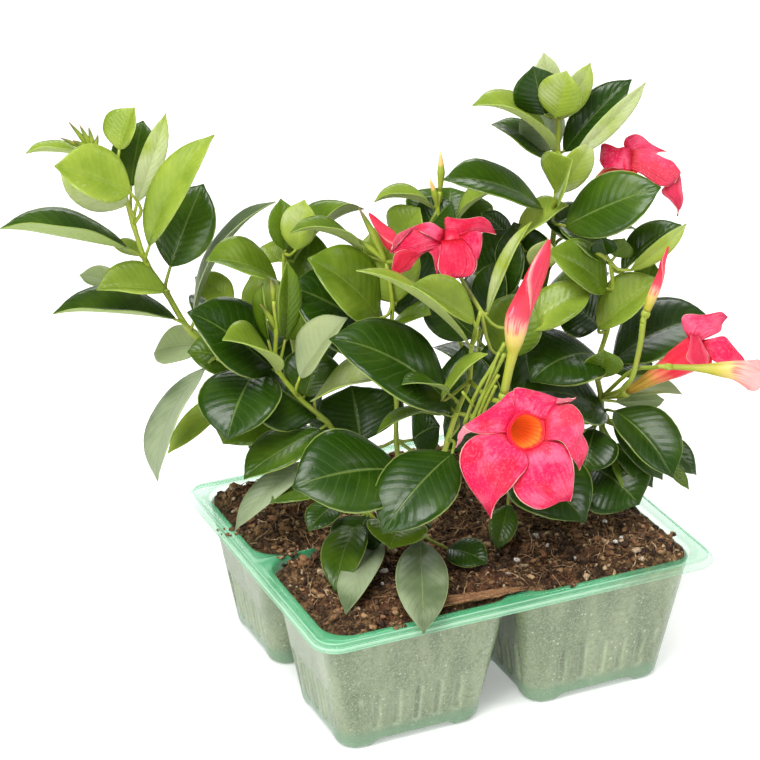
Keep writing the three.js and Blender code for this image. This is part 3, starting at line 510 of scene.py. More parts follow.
# A blade runs from base to tip. face is the way its upper side looks, fold lifts its two halves
# in degrees, and arch bends the midrib.
def addBlade(whole, base, tip, width, face, fold, arch, shape, tone, phase):
    bm = newShape()
    toneLayer = bm.verts.layers.float["tone"]
    uvLayer = bm.loops.layers.uv["blade"]
    base, tip = Vector(base), Vector(tip)
    axis = tip - base
    length = axis.length
    axis.normalize()
    face = Vector(face)
    normal = (face - axis * face.dot(axis)).normalized()
    side = axis.cross(normal)
    middle = (base + tip) / 2 + normal * 2 * arch * length
    rise = math.radians(fold)
    grid = bmesh.ops.create_grid(bm, x_segments=shape["along"], y_segments=shape["across"], size=0.5)["verts"]
    for vert in grid:
        u, v = vert.co.x + 0.5, vert.co.y * 2  # 0 to 1 along the blade, -1 to 1 across it
        for loop in vert.link_loops:
            loop[uvLayer].uv = (u, v / 2 + 0.5)
        half = max(width / 2 * alongList(shape["outline"], u), shape["leastHalf"])
        heading = ((middle - base).lerp(tip - middle, u)).normalized()
        centre = base * (1 - u) ** 2 + middle * 2 * u * (1 - u) + tip * u * u
        up = side.cross(heading)
        twist = shape["twist"] * math.sin(phase * shape["twistSpread"]) * (u - shape["twistFrom"])
        out = side * math.cos(twist) + up * math.sin(twist)
        up = up * math.cos(twist) - side * math.sin(twist)
        crease = shape["crease"]
        soft = math.sqrt(v * v + crease) - math.sqrt(crease)
        lift = math.sin(rise) * soft - shape["curl"] * v * v * (1 - u * shape["curlFade"])
        turn = u * shape["waves"] * 6.28 + phase * shape["waveSpread"] + (2 if v > 0 else 0)
        lift += shape["wave"] * v * v * math.sin(turn)
        lift += shape["cup"] * math.sin(min(abs(v), 1) * math.pi)
        hook = shape["hook"] * length * max(0, (u - shape["hookFrom"]) / (1 - shape["hookFrom"])) ** 2
        vert.co = centre - out * half * v * math.cos(rise) + up * (half * lift - hook)
        vert[toneLayer] = tone
    addShape(whole, bm)


# Rings of points run round a cell's wall, anticlockwise from its back right corner. A place on a ring
# is (corner or side, quarter, share along it).
def ringPlaces():
    places = []
    for quarter in range(4):
        for kind in ("corner", "side"):
            places += [(kind, quarter, i / ringPoints[kind]) for i in range(ringPoints[kind])]
    return places


def onRing(place, halfX, halfY, radius):  # point and outward direction
    kind, quarter, share = place
    insetX, insetY = halfX - radius, halfY - radius
    (signX, signY), (nextX, nextY) = quarterSigns[quarter], quarterSigns[(quarter + 1) % 4]
    start = Vector((signX * insetX, signY * insetY))
    if kind == "corner":
        angle = (quarter + share) * math.pi / 2
        out = Vector((math.cos(angle), math.sin(angle)))
        return start + out * radius, out
    angle = (quarter + 1) * math.pi / 2
    out = Vector((round(math.cos(angle)), round(math.sin(angle))))
    end = Vector((nextX * insetX, nextY * insetY))
    return (start + out * radius).lerp(end + out * radius, share), out


def loopEdges(bm, ring):
    return [bm.edges.get((ring[i], ring[(i + 1) % len(ring)])) for i in range(len(ring))]


def loft(bm, places, steps, onto):  # a wall of rings, closed at its foot
    ring = bmesh.ops.create_circle(bm, segments=len(places), radius=1)["verts"]
    edges = loopEdges(bm, ring)
    for i, step in enumerate(steps):
        if i:
            fresh = set(extrude(bm, edges)[0])
            ring = [next(e.other_vert(v) for e in v.link_edges if e.other_vert(v) in fresh) for v in ring]
            edges = loopEdges(bm, ring)
        for vert, place in zip(ring, places):
            onto(vert, place, step)
        if i == 0:
            bmesh.ops.contextual_create(bm, geom=edges)
    return edges


# tray
traySize = dict(
    halfX=105.0, halfY=89.5, height=71.0, cornerRadius=12.0, cellX=49.2, cellY=41.8,
    top=(47.2, 39.8, 13.0), bottom=(36.0, 28.5, 10.0),  # half width, half depth, corner radius
    arch=2.5, archShare=0.6, archEdge=(0.8, 1.08), archFade=6, foot=1.6, footFade=3.5,
    sheet=0.45, lipReach=3.0, innerRadius=12,
    floor=(0.25, 0.55, 0.8, 0.93),
    wall=(0.3, 1.2, 3, 5, 7.5, 9, 10.2, 11.4, 12.6, 14, 18, 22, 26, 28, 29.2, 30.4, 31.6, 33, 36, 41, 46, 52, 58, 64,
          67.6),
    lip=((0.15, 1.6), (0.55, 0.6), (1.2, 0.1)),  # outward, below the top
    rim=[  # outward, drop, and how much painted highlight the bend gets
        (0.3, -0.08, 0.0), (0.3, -0.3, 1.0), (0.12, -0.4, 0.2), (0.08, -0.9, 0.0), (0.12, -0.3, 0.0),
        (0.35, -0.08, 0.2), (0.75, 0.0, 0.0), (0.3, -0.1, 1.0), (0.25, -0.35, 1.0), (0.05, -0.9, 0.1),
        (0.2, -0.3, 0.0), (0.25, -0.05, 0.3)],
)
fluteSize = dict(
    pitch=10.5, halfWidth=2.6, edge=(0.45, 1.15), depth=1.4, low=9.0, high=32.0, end=3.0,
    counts=(3, 2), margin=0.4,  # on each side of the middle of a long and of a short wall
    # highlightShare and highlightBelow: painted highlight lines on the grooves' edges, below a height
    highlightShare=0.45, highlightBelow=60,
)
ringPoints = dict(side=54, corner=8)
quarterSigns = [(1, 1), (-1, 1), (-1, -1), (1, -1)]
deckEnd = dict(
    x=traySize["halfX"] - traySize["cellX"] - traySize["lipReach"],
    y=traySize["halfY"] - traySize["cellY"] - traySize["lipReach"],
    radius=traySize["cornerRadius"] - traySize["lipReach"],
)


def cellWallPoint(place, height, inset=0.0):
    share = height / traySize["height"]
    halfX, halfY, radius = (blendTo(a, b, share) for a, b in zip(traySize["bottom"], traySize["top"]))
    return onRing(place, halfX - inset, halfY - inset, radius - inset)


def fluteDepth(place, point, height):  # pressed-in grooves with round ends
    kind, quarter = place[:2]
    if kind == "corner":
        return 0.0
    pitch = fluteSize["pitch"]
    along = point.y if quarter % 2 else point.x
    across = abs((along / pitch + 0.5) % 1 - 0.5) * pitch
    if abs(along) > (fluteSize["counts"][quarter % 2] + fluteSize["margin"]) * pitch:
        return 0.0
    over = max(fluteSize["low"] + fluteSize["end"] - height, height - fluteSize["high"] + fluteSize["end"], 0)
    reach = math.hypot(across, over)
    inner, outer = (fluteSize["halfWidth"] * share for share in fluteSize["edge"])
    return fluteSize["depth"] * (1 - smooth(inner, outer, reach))


def fluteEdge(place, height):  # 1 along the rounded edge of a groove, 0 away from it
    depth = fluteDepth(place, cellWallPoint(place, height)[0], height) / fluteSize["depth"]
    return 4 * depth * (1 - depth)


def archLift(point):
    alongX = abs(point.x) / (traySize["bottom"][0] * traySize["archShare"])
    alongY = abs(point.y) / (traySize["bottom"][1] * traySize["archShare"])
    return traySize["arch"] * (1 - smooth(*traySize["archEdge"], min(alongX, alongY)))


def deckPoint(place):  # where the cell's share of the flat deck ends
    kind, quarter, share = place
    right, back, left, front = deckEnd["x"], deckEnd["y"], -traySize["cellX"], -traySize["cellY"]
    corners = [(right, back), (left, back), (left, front), (right, front)]

    def cornerPoint(quarter, share):
        x, y = corners[quarter]
        if quarter == 0:
            radius = deckEnd["radius"]
            angle = share * math.pi / 2
            return Vector((x - radius + math.cos(angle) * radius, y - radius + math.sin(angle) * radius))
        corner = Vector((x, y))
        before = [(0, -1), (1, 0), (0, 1), (-1, 0)][quarter]
        after = [(-1, 0), (0, -1), (1, 0), (0, 1)][quarter]
        start = corner + Vector(before) * traySize["innerRadius"]
        end = corner + Vector(after) * traySize["innerRadius"]
        return start.lerp(corner, share * 2) if share < 0.5 else corner.lerp(end, share * 2 - 1)

    if kind == "corner":
        return cornerPoint(quarter, share)
    return cornerPoint(quarter, 1).lerp(cornerPoint((quarter + 1) % 4, 0), share)


def trayPoint(place, step):
    part, size = step
    height = traySize["height"]
    if part == "floor":
        point = cellWallPoint(place, 0)[0] * size
        return Vector((point.x, point.y, archLift(point) if size > 0.5 else traySize["arch"]))
    if part == "wall":
        point, out = cellWallPoint(place, size)
        foot = traySize["foot"] * (1 - smooth(0, traySize["footFade"], size)) ** 2
        lift = archLift(point) * (1 - size / traySize["archFade"]) if size < traySize["archFade"] else 0
        wall = point - out * (fluteDepth(place, point, size) + foot)
        return Vector((wall.x, wall.y, size + lift))
    if part == "lip":
        point, out = cellWallPoint(place, height)
        wall = point + out * size[0]
        return Vector((wall.x, wall.y, height - size[1]))
    return Vector((*deckPoint(place), height))


def isOuter(vert, near=0.01):  # on the side of the deck that is the outside of the tray
    pastX, pastY = vert.co.x - deckEnd["x"], vert.co.y - deckEnd["y"]
    onCorner = min(pastX, pastY) > -deckEnd["radius"] - near
    return abs(pastX) < near or abs(pastY) < near or onCorner


def makeTray():  # a back right cell with its share of the rim, then mirrored twice
    bm = newShape()
    toneLayer = bm.verts.layers.float["tone"]

    def onto(vert, place, step):
        vert.co = trayPoint(place, step)
        low = vert.co.z < fluteSize["highlightBelow"]
        # a groove's rounded edge gets a painted highlight line
        vert[toneLayer] = fluteEdge(place, vert.co.z) * fluteSize["highlightShare"] if low else 0

    steps = [(part, size) for part in ("floor", "wall", "lip") for size in traySize[part]]
    edges = loft(bm, ringPlaces(), steps + [("deck", None)], onto)

    # only the edges on the outside of the tray go on, out over the step and down the skirt
    centreX, centreY = deckEnd["x"] - deckEnd["radius"], deckEnd["y"] - deckEnd["radius"]
    edges = [e for e in edges if all(isOuter(v) for v in e.verts)]
    for outward, drop, bend in traySize["rim"]:
        ring, edges = extrude(bm, edges)
        for vert in ring:
            out = Vector((max(vert.co.x - centreX, 0), max(vert.co.y - centreY, 0))).normalized()
            vert.co += Vector((out.x * outward, out.y * outward, drop))
            vert[toneLayer] = bend
    bmesh.ops.translate(bm, verts=bm.verts, vec=(traySize["cellX"], traySize["cellY"], 0))
    for axis in "XY":
        bmesh.ops.mirror(bm, geom=bm.verts[:] + bm.edges[:] + bm.faces[:], axis=axis, merge_dist=0.01)
    bmesh.ops.remove_doubles(bm, verts=bm.verts, dist=0.01)
    bmesh.ops.recalc_face_normals(bm, faces=bm.faces)
    return makePiece("growingTray", bm, trayToRow, [clearGreenSheet], ["tray"], sheet=traySize["sheet"])


makeTray()
print("tray made")


# soil
soilSize = dict(
    insideX=94.8, insideY=79.9, corner=13.0, low=66.0, base=68.0, crown=4.4, rise=11, cells=(220, 187), skirt=2,
    lumps=[(0.04, (0, 0, 0), 3.0), (0.11, (3, 1, 7), 2.2)],  # frequency, shift, height
    grains=[(0.27, (0, 0, 0), 2.0), (0.55, (0, 0, 0), 1.3), (1.1, (0, 0, 0), 0.6)],
    grainShare=0.45,  # of the grains' height right at the edge
    bare=dict(depth=5.5, x=(60, 80), y=(3, 14)),  # the left divider's end
    heap=dict(y=-76, halfX=16, halfY=9, height=3.2),  # under the bark at the front
    plugLevels=(3.6, 12, 24, 40, 56, 68), plugInset=2.2,
)
crumbSize = dict(
    crumbs=5600, size=(0.35, 1.9), lumps=40, lumpSpread=5, perlite=30,
    fibres=1200, fibreLength=(1.5, 6), fibreRadius=0.24, fibreLift=(0.4, 1.3),
    squash=((0.7, 1.1), (0.7, 0.6), (0.5, 0.5)), tilt=1.6,  # least and how much more, each way
)
spills = [((26.5, -83.5), 3.5, 26), ((-83, 3), 13, 70), ((-99, 30), 14, 26), ((-64, -83), 6, 30), ((93, -60), 5, 26)]
barkSize = dict(strips=70, x=(-40, -4), y=-76.0, z=72.4, reaches=(-9, -3, 3, 9))


def pastCorner(x, y):  # how far past the start of the rounded corner, each way
    corner = soilSize["corner"]
    return max(abs(x) - (soilSize["insideX"] - corner), 0), max(abs(y) - (soilSize["insideY"] - corner), 0)


def insideBy(x, y):  # distance in from the edge of the soil
    overX, overY = pastCorner(x, y)
    if overX and overY:
        return max(soilSize["corner"] - math.hypot(overX, overY), 0)
    return max(min(soilSize["insideX"] - abs(x), soilSize["insideY"] - abs(y)), 0)


def relief(spot, layers):
    return sum(noise.noise(spot * frequency + Vector(shift)) * height for frequency, shift, height in layers)


def soilHeight(x, y):
    rise = smooth(0, soilSize["rise"], insideBy(x, y))
    spot = Vector((x, y, 0))
    height = soilSize["base"] + rise * (soilSize["crown"] + relief(spot, soilSize["lumps"]))
    height += relief(spot, soilSize["grains"]) * blendTo(soilSize["grainShare"], 1, rise)
    bare, heap = soilSize["bare"], soilSize["heap"]
    height -= bare["depth"] * smooth(*bare["x"], -x) * (1 - smooth(*bare["y"], abs(y)))
    return height + heap["height"] * math.exp(-((x / heap["halfX"]) ** 2) - ((y - heap["y"]) / heap["halfY"]) ** 2)


def makeSoilTop():
    bm = newShape()
    cellsX, cellsY = soilSize["cells"]
    for vert in bmesh.ops.create_grid(bm, x_segments=cellsX, y_segments=cellsY, size=1)["verts"]:
        x, y = vert.co.x * soilSize["insideX"], vert.co.y * soilSize["insideY"]
        vert.co = (x, y, max(soilHeight(x, y), soilSize["low"]))
    border = [edge for edge in bm.edges if edge.is_boundary]
    for vert in extrude(bm, border)[0]:
        vert.co.z = soilSize["low"] - soilSize["skirt"]
    corner = soilSize["corner"]
    for vert in bm.verts:
        overX, overY = pastCorner(vert.co.x, vert.co.y)
        if overX and overY and math.hypot(overX, overY) > corner:
            pull = corner / math.hypot(overX, overY)
            vert.co.x = math.copysign(soilSize["insideX"] - corner + overX * pull, vert.co.x)
            vert.co.y = math.copysign(soilSize["insideY"] - corner + overY * pull, vert.co.y)
    return bm


def makeSoil():
    bm = makeSoilTop()

    def onto(vert, place, z):
        vert.co = (*cellWallPoint(place, z, soilSize["plugInset"])[0], z)

    for signX in (-1, 1):
        for signY in (-1, 1):
            plug = newShape()
            edges = loft(plug, ringPlaces()[::2], soilSize["plugLevels"], onto)
            bmesh.ops.contextual_create(plug, geom=edges)
            bmesh.ops.recalc_face_normals(plug, faces=plug.faces)
            bmesh.ops.translate(plug, verts=plug.verts, vec=(signX * traySize["cellX"], signY * traySize["cellY"], 0))
            addShape(bm, plug)
    return bm


def addCrumb(whole, draw, x, y, top, size, tone, rough=0.6):
    crumb = newShape()
    toneLayer = crumb.verts.layers.float["tone"]
    bmesh.ops.create_icosphere(crumb, subdivisions=1, radius=size)
    for vert in crumb.verts:
        vert.co *= 1 - rough / 2 + rough * next(draw)
        vert[toneLayer] = tone
    squash = Matrix.Diagonal([least + next(draw) * more for least, more in crumbSize["squash"]] + [1])
    tilt = crumbSize["tilt"]
    turn = Matrix.Rotation(next(draw) * 6.28, 4, "Z") @ Matrix.Rotation(next(draw) * tilt - tilt / 2, 4, "X")
    crumb.transform(Matrix.Translation((x, y, top)) @ turn @ squash)
    addShape(whole, crumb)


def addFibre(whole, draw, x, y, angle, reach, tone):
    path = []
    lift, more = crumbSize["fibreLift"]
    for k in range(5):
        pointX = x + math.cos(angle) * reach * (k / 2 - 1)
        pointY = y + math.sin(angle) * reach * (k / 2 - 1)
        path.append(Vector((pointX, pointY, soilHeight(pointX, pointY) + lift + more * next(draw))))
        angle += (next(draw) - 0.5) * 0.5
    thick = crumbSize["fibreRadius"] * (0.6 + 0.8 * next(draw))
    addTube(whole, path, [thick * 0.6, thick, thick, thick * 0.9, thick * 0.4], 4, tone)


def makeCrumbs():
    bm = newShape()
    draw = drawFrom(23)

    def somewhere(margin):
        x = (next(draw) * 2 - 1) * (soilSize["insideX"] - margin)
        y = (next(draw) * 2 - 1) * (soilSize["insideY"] - margin)
        while insideBy(x, y) < margin * 0.5:
            x, y = x * 0.9, y * 0.9
        return x, y

    for i in range(crumbSize["crumbs"]):
        x, y = somewhere(1.5)
        size = blendTo(*crumbSize["size"], next(draw) ** 3)
        addCrumb(bm, draw, x, y, soilHeight(x, y) + size * 0.35, size, next(draw) ** 1.8 * 0.93, 1.0)
    for i in range(crumbSize["lumps"]):
        middleX, middleY = somewhere(6)
        spread = crumbSize["lumpSpread"]
        for part in range(5):
            size = 1.0 + next(draw) * 1.1
            x, y = middleX + next(draw) * spread - spread / 2, middleY + next(draw) * spread - spread / 2
            addCrumb(bm, draw, x, y, soilHeight(x, y) + size * 0.5, size, 0.25 + 0.35 * next(draw))
    for i in range(crumbSize["perlite"]):
        x, y = somewhere(5)
        size = 0.8 + next(draw) * 1.1
        addCrumb(bm, draw, x, y, soilHeight(x, y) + size * 0.7, size, 1.0, 0.3)
    for (middleX, middleY), spread, count in spills:
        for i in range(count):
            x, y = middleX + (next(draw) - 0.5) * spread, middleY + (next(draw) - 0.5) * spread
            size = 0.3 + next(draw) ** 2 * 0.9
            top = soilHeight(x, y) if insideBy(x, y) > 2 else traySize["height"]
            addCrumb(bm, draw, x, y, max(top, traySize["height"]) + size * 0.3, size, next(draw) * 0.7)
    shortest, more = crumbSize["fibreLength"]
    for i in range(crumbSize["fibres"]):
        x, y = somewhere(5)
        addFibre(bm, draw, x, y, next(draw) * 6.28, shortest + next(draw) ** 2 * more, 0.42 + 0.46 * next(draw))
    return bm


def makeBark():  # a torn strip of reddish bark that lies along the front rim
    bm = newShape()
    draw = drawFrom(71)
    for i in range(barkSize["strips"]):
        share = next(draw)
        x = blendTo(*barkSize["x"], share)
        y = barkSize["y"] - share * 3.5 + (next(draw) - 0.5) * (7.5 - share * 4)
        path = []
        for reach in barkSize["reaches"]:
            path.append(Vector((x + reach, y + reach * -0.1 + next(draw) * 0.8, barkSize["z"] + next(draw) * 1.6)))
        thick = 0.35 + next(draw) * 0.4
        addTube(bm, path, [thick * 0.5, thick, thick, thick * 0.3], 5, 0.44 + next(draw) * 0.2)
    return bm


soilNodes = ["soil_front_left", "soil_front_right", "soil_back_left", "soil_back_right"]
makePiece("soil", makeSoil(), trayToRow, [pottingSoil], soilNodes)
makePiece("soilCrumbs", makeCrumbs(), trayToRow, [soilCrumb], soilNodes)
makePiece("soilBark", makeBark(), trayToRow, [soilCrumb], soilNodes)
print("soil made")


# leaves and stems
leafShape = dict(
    along=20, across=10, leastHalf=0.25, outline=[
        (0, 0.0), (0.03, 0.16), (0.08, 0.37), (0.16, 0.61), (0.26, 0.83), (0.38, 0.97), (0.5, 1.0), (0.61, 0.97),
        (0.71, 0.87), (0.8, 0.7), (0.87, 0.5), (0.92, 0.31), (0.96, 0.13), (1, 0.01)],
    twist=0.14, twistFrom=0.3, curl=0.1, curlFade=0.4, wave=0.035, waves=1.6, cup=0.05, hook=0.03, hookFrom=0.72,
    twistSpread=40, waveSpread=30,  # how far the leaf's own draw moves its twist and its waves
    crease=0.015, thickness=0.45,
)
# Leaf tones: m dark mature green, o olive, y and l young lime. g is a little lighter than m, a painted sheen; p, v and
# w are pale, for young leaves and for painted sheen and back-light; s and w lie past the ramp's ends and also get the
# painted grey sheen.
toneOf = {"s": -0.3, "m": 0.0, "g": 0.2, "o": 0.45, "y": 0.75, "l": 0.87, "p": 0.92, "v": 1.0, "w": 1.3}
stemSize = dict(
    trunk=1.9, branch=1.4, tip=0.95, knuckle=1.22, trunkHeights=(62, 80),
    petiole=0.85, petioleEnds=(1.15, 0.8), petioleSag=0.18, tipShape=[(0, 0.5), (0.5, 1), (0.8, 0.6), (1, 0.15)],
)

# Each shoot belongs to a plant. stem lists its nodes from the foot up. leaves list
# (stem node, base, tip, width, face, fold, arch, tone). tips list (stem node, point, width), and
# tipTone is the tone of their ends.
shoots = {}
shoots["tallLeft"] = dict(
    plant="back_left", rooted=True,
    stem=[(-62, 18, 68), (-70, 24, 103), (-98, 26, 138), (-123, 20, 163), (-135, 16, 187), (-143, 12, 203),
          (-148, 8, 224), (-154, 6, 248), (-165, 2, 262)],
    leaves=[
        (7, (-153, 6, 262), (-146, 12, 281), 25, (-0.53, -0.67, 0.51), 34, 0.02, "l"),
        (6, (-147, -6, 246), (-180, -16, 263), 34, (0.2, -0.6, 0.8), 30, 0, "l"),
        (6, (-150, 6, 235), (-180, -3, 256), 22, (0, -1, 0.2), 12, 0.02, "v"),
        (6, (-146, 8, 235), (-131, 12, 278), 12, (0.2, -0.9, 0.4), 12, 0.08, "v"),
        (6, (-149, 14, 241), (-143, 22, 271), 24, (-0.2, -0.9, 0.4), 14, 0.05, "g"),
        (8, (-169, 2, 261), (-195, -4, 265), 18, (0, 0.1, 1), 34, 0.04, "y"),
        (5, (-151, 8, 212), (-209, -2, 228), 40, (0, 0.1, 1), 38, 0, "g"),
        (5, (-141, 6, 214), (-109, -2, 273), 22, (-0.3, -0.7, 0.6), 24, 0.1, "y"),
        (4, (-132, 14, 200), (-116, 26, 238), 32, (-0.2, -0.9, 0.4), 14, 0.04, "g"),
        (4, (-134, 8, 190), (-166, 0, 195), 29, (0, -0.4, 0.9), 42, 0.05, "y"),
        (4, (-156, 30, 184), (-178, 34, 188), 16, (0, -0.3, 0.9), 14, 0.04, "w"),
        (3, (-130, 16, 172), (-188, 6, 181), 38, (0, 0, 1), 34, 0.02, "g"),
        (5, (-146, 16, 205), (-160, 30, 207), 10, (0, -0.5, 0.9), 20, 0.05, "y"),
        (3, (-122, 18, 170), (-83, 30, 229), 26, (-0.9, 0, 0.5), 28, 0.1, "s"),
    ],
    tips=[(8, (-175, 0, 278), 2.6), (8, (-170, -1, 277), 2.6), (8, (-166, 1, 275), 2.8), (8, (-179, -2, 271), 2.6),
          (8, (-173, -3, 270), 3.4), (8, (-162, 2, 271), 2.6)],
)
shoots["leftSide"] = dict(
    plant="back_left",
    stem=[(-70, 24, 103), (-85, 20, 126), (-97, 10, 146), (-111, 8, 155)],
    leaves=[
        (3, (-116, 24, 154), (-144, 34, 146), 24, (0, -0.5, 0.9), 14, 0.1, "w"),
        (2, (-100, 16, 148), (-125, 12, 157), 26, (0, -0.5, 0.9), 14, 0.1, "g"),
        (3, (-116, 4, 152), (-139, -36, 111), 28, (-0.7, -0.3, 0.6), 14, 0.12, "s"),
        (2, (-102, 20, 133), (-136, 2, 107), 14, (-0.3, -0.7, 0.7), 16, 0.06, "y"),
        (2, (-91, 0, 153), (-104, -36, 133), 42, (-0.2, -0.6, 0.7), 12, 0.1, "m"),
        (1, (-89, 14, 127), (-108, -6, 116), 34, (-0.2, -0.7, 0.7), 12, 0.1, "o"),
    ],
)
shoots["lowLeft"] = dict(
    plant="back_left",
    stem=[(-62, 18, 78), (-53, 2, 113), (-57, -4, 126), (-71, -8, 142), (-81, -8, 158), (-81, -8, 177), (-82, -8, 192)],
    leaves=[
        (4, (-83, -2, 153), (-122, -10, 188), 42, (0.3, -0.5, 0.8), 16, 0.06, "m"),
        (2, (-62, -4, 129), (-92, 4, 146), 46, (0.3, -0.6, 0.8), 10, 0.1, "m"),
        (1, (-71, 12, 117), (-97, 10, 106), 34, (-0.1, -0.7, 0.8), 10, 0.1, "m"),
        (2, (-60, -8, 125), (-97, -34, 112), 28, (-0.3, -0.4, 0.9), 16, 0.04, "g"),
        (3, (-81, -10, 156), (-105, -26, 181), 32, (-0.1, -0.2, 1), 30, 0.1, "y"),
        (3, (-70, -16, 156), (-48, -20, 189), 28, (-0.6, -0.5, 0.6), 32, 0.04, "w"),
        (3, (-68, -4, 140), (-60, 10, 159), 30, (-0.1, -0.8, 0.6), 12, 0.08, "g"),
        (2, (-64, -6, 139), (-30, -30, 163), 34, (0, -0.3, 1), 30, 0.04, "p"),
        (4, (-85, -5, 170), (-88, -4, 199), 13, (-0.8, -0.5, 0.3), 24, 0.04, "o"),
        (4, (-77, -5, 170), (-75, -6, 211), 14, (0.5, -0.8, 0.4), 24, 0.04, "o"),
        (1, (-62, -14, 110), (-102, -36, 85), 15, (-0.2, -0.5, 0.8), 16, 0.16, "s"),
        (1, (-60, -20, 98), (-84, -38, 101), 18, (0, -0.2, 1), 12, 0.1, "g"),
    ],
    tips=[(6, (-83, -10, 204), 3), (5, (-88, -12, 192), 3)],
)
shoots["midLeft"] = dict(
    plant="back_left",
    stem=[(-62, 18, 78), (-64, 26, 102), (-70, 28, 128), (-75, 26, 159), (-78, 24, 184), (-78, 22, 204)],
    leaves=[
        (4, (-81, 16, 192), (-113, -6, 213), 30, (0.2, -0.4, 0.9), 28, 0.08, "o"),
        (5, (-77, 20, 206), (-79, 24, 231), 16, (0.2, -0.9, 0.4), 16, 0.02, "o"),
        (5, (-72, 15, 208), (-68, 20, 232), 19, (-0.2, -0.9, 0.4), 16, 0.02, "l"),
        (5, (-74, 24, 198), (-40, 40, 221), 38, (-0.5, 0, 0.9), 36, 0.1, "o"),
        (5, (-64, 40, 207), (-72, 30, 187), 24, (0.2, -0.8, 0.6), 12, 0.1, "o"),
        (5, (-80, 26, 198), (-89, 34, 203), 18, (0, -0.5, 0.9), 20, 0.05, "y"),
        (3, (-103, 30, 175), (-122, 36, 186), 17, (0, -0.6, 0.8), 14, 0.05, "l"),
        (3, (-82, 26, 168), (-95, 34, 187), 22, (-0.2, -0.8, 0.6), 14, 0.05, "y"),
        (3, (-69, 20, 159), (-73, 28, 178), 32, (0, -0.9, 0.5), 14, 0.06, "o"),
    ],
)
shoots["frontMain"] = dict(
    plant="front_left", rooted=True,
    stem=[(-23, -29, 68), (-16, -33, 84), (-10, -37, 101), (-4, -40, 120), (0, -36, 133), (4, -30, 144),
          (10, -26, 159), (11, -24, 176), (15, -22, 193)],
    leaves=[
        (7, (10, -26, 177), (-42, -38, 222), 22, (0.5, 0.2, 0.8), 30, 0.06, "y"),
        (7, (12, -28, 190), (-17, -44, 216), 27, (0.4, -0.49, 0.77), 40, 0, "y"),
        (8, (18, -20, 190), (37, -14, 235), 10, (-0.8, -0.4, 0.3), 26, 0.05, "p"),
        (8, (27, -12, 164), (35, -6, 196), 30, (-0.2, -0.9, 0.4), 12, 0.05, "o"),
        (8, (37, -12, 179), (68, -4, 197), 24, (-0.3, -0.6, 0.8), 20, 0.06, "y"),
        (5, (2, -30, 146), (-55, -40, 188), 46, (0.3, -0.4, 0.9), 10, 0.12, "m"),
        (5, (0, -42, 160), (-22, -54, 171), 18, (0, 0.1, 1), 24, 0.08, "g"),
        (6, (-4, -36, 152), (17, -40, 180), 20, (-0.8, 0, 0.6), 26, 0.04, "y"),
        (5, (2, -32, 143), (-34, -44, 141), 16, (-0.1, 0.2, 1), 20, 0.14, "o"),
        (4, (4, -20, 140), (-15, -12, 140), 20, (0, -0.2, 1), 12, 0.1, "g"),
        (3, (-22, -50, 124), (-72, -80, 131), 46, (0, -0.6, 0.8), 8, 0.1, "m"),
        (4, (2, -52, 134), (-31, -88, 111), 37, (-0.35, -0.8, 0.5), 8, 0.1, "m"),
        (1, (-21, -38, 91), (-27, -62, 89), 30, (-0.1, -0.6, 0.8), 12, 0.1, "o"),
        (1, (-13, -50, 87), (-12, -114, 75), 25, (0, -0.7, 0.7), 10, 0.04, "s"),
        (1, (0, -44, 79), (19, -58, 79), 18, (0, -0.5, 0.9), 10, 0.1, "m"),
    ],
)
shoots["frontLow"] = dict(
    plant="front_left",
    stem=[(-23, -29, 78), (-29, -34, 83), (-38, -32, 92), (-48, -28, 96)],
    leaves=[
        (2, (-38, -34, 91), (-46, -52, 79), 28, (-0.2, -0.7, 0.7), 14, 0.1, "m"),
        (2, (-43, -36, 89), (-53, -79, 76), 22, (-0.2, -0.7, 0.7), 16, 0.1, "g"),
        (1, (-32, -42, 82), (-48, -99, 76), 19, (-0.3, -0.6, 0.7), 16, 0.06, "s"),
        (3, (-52, -32, 97), (-66, -50, 92), 16, (-0.1, -0.5, 0.9), 12, 0.1, "m"),
    ],
)
shoots["frontRear"] = dict(
    plant="front_left",
    stem=[(-23, -29, 78), (-21, -12, 88), (-24, 2, 114), (-24, 8, 134), (-27, 8, 162), (-26, 8, 183), (-29, 8, 205)],
    leaves=[
        (6, (-40, 11, 208), (-74, 1, 224), 24, (0, 0.1, 1), 34, 0.12, "o"),
        (4, (-28, 12, 162), (-75, 4, 195), 50, (0.1, -0.5, 0.9), 10, 0.06, "m"),
        (5, (-32, 4, 177), (-65, -10, 215), 39, (0.2, -0.5, 0.8), 20, 0.08, "o"),
        (4, (-30, 6, 168), (-8, -6, 185), 30, (-0.1, 0, 1), 12, 0.12, "o"),
        (5, (-24, 10, 183), (-34, 18, 219), 34, (-0.1, -0.9, 0.5), 14, 0.05, "y"),
        (2, (-41, 4, 112), (-46, 18, 136), 48, (0, -0.9, 0.5), 10, 0.05, "m"),
        (2, (-16, 0, 115), (-3, -2, 124), 34, (0, -0.5, 0.9), 10, 0.1, "m"),
        (2, (2, -6, 112), (21, 4, 137), 30, (0.3, -0.9, 0.2), 10, 0.08, "m"),
    ],
    tips=[(6, (-42, 10, 232), 4), (6, (-37, 10, 223), 3), (6, (-44, 8, 218), 3)],
)
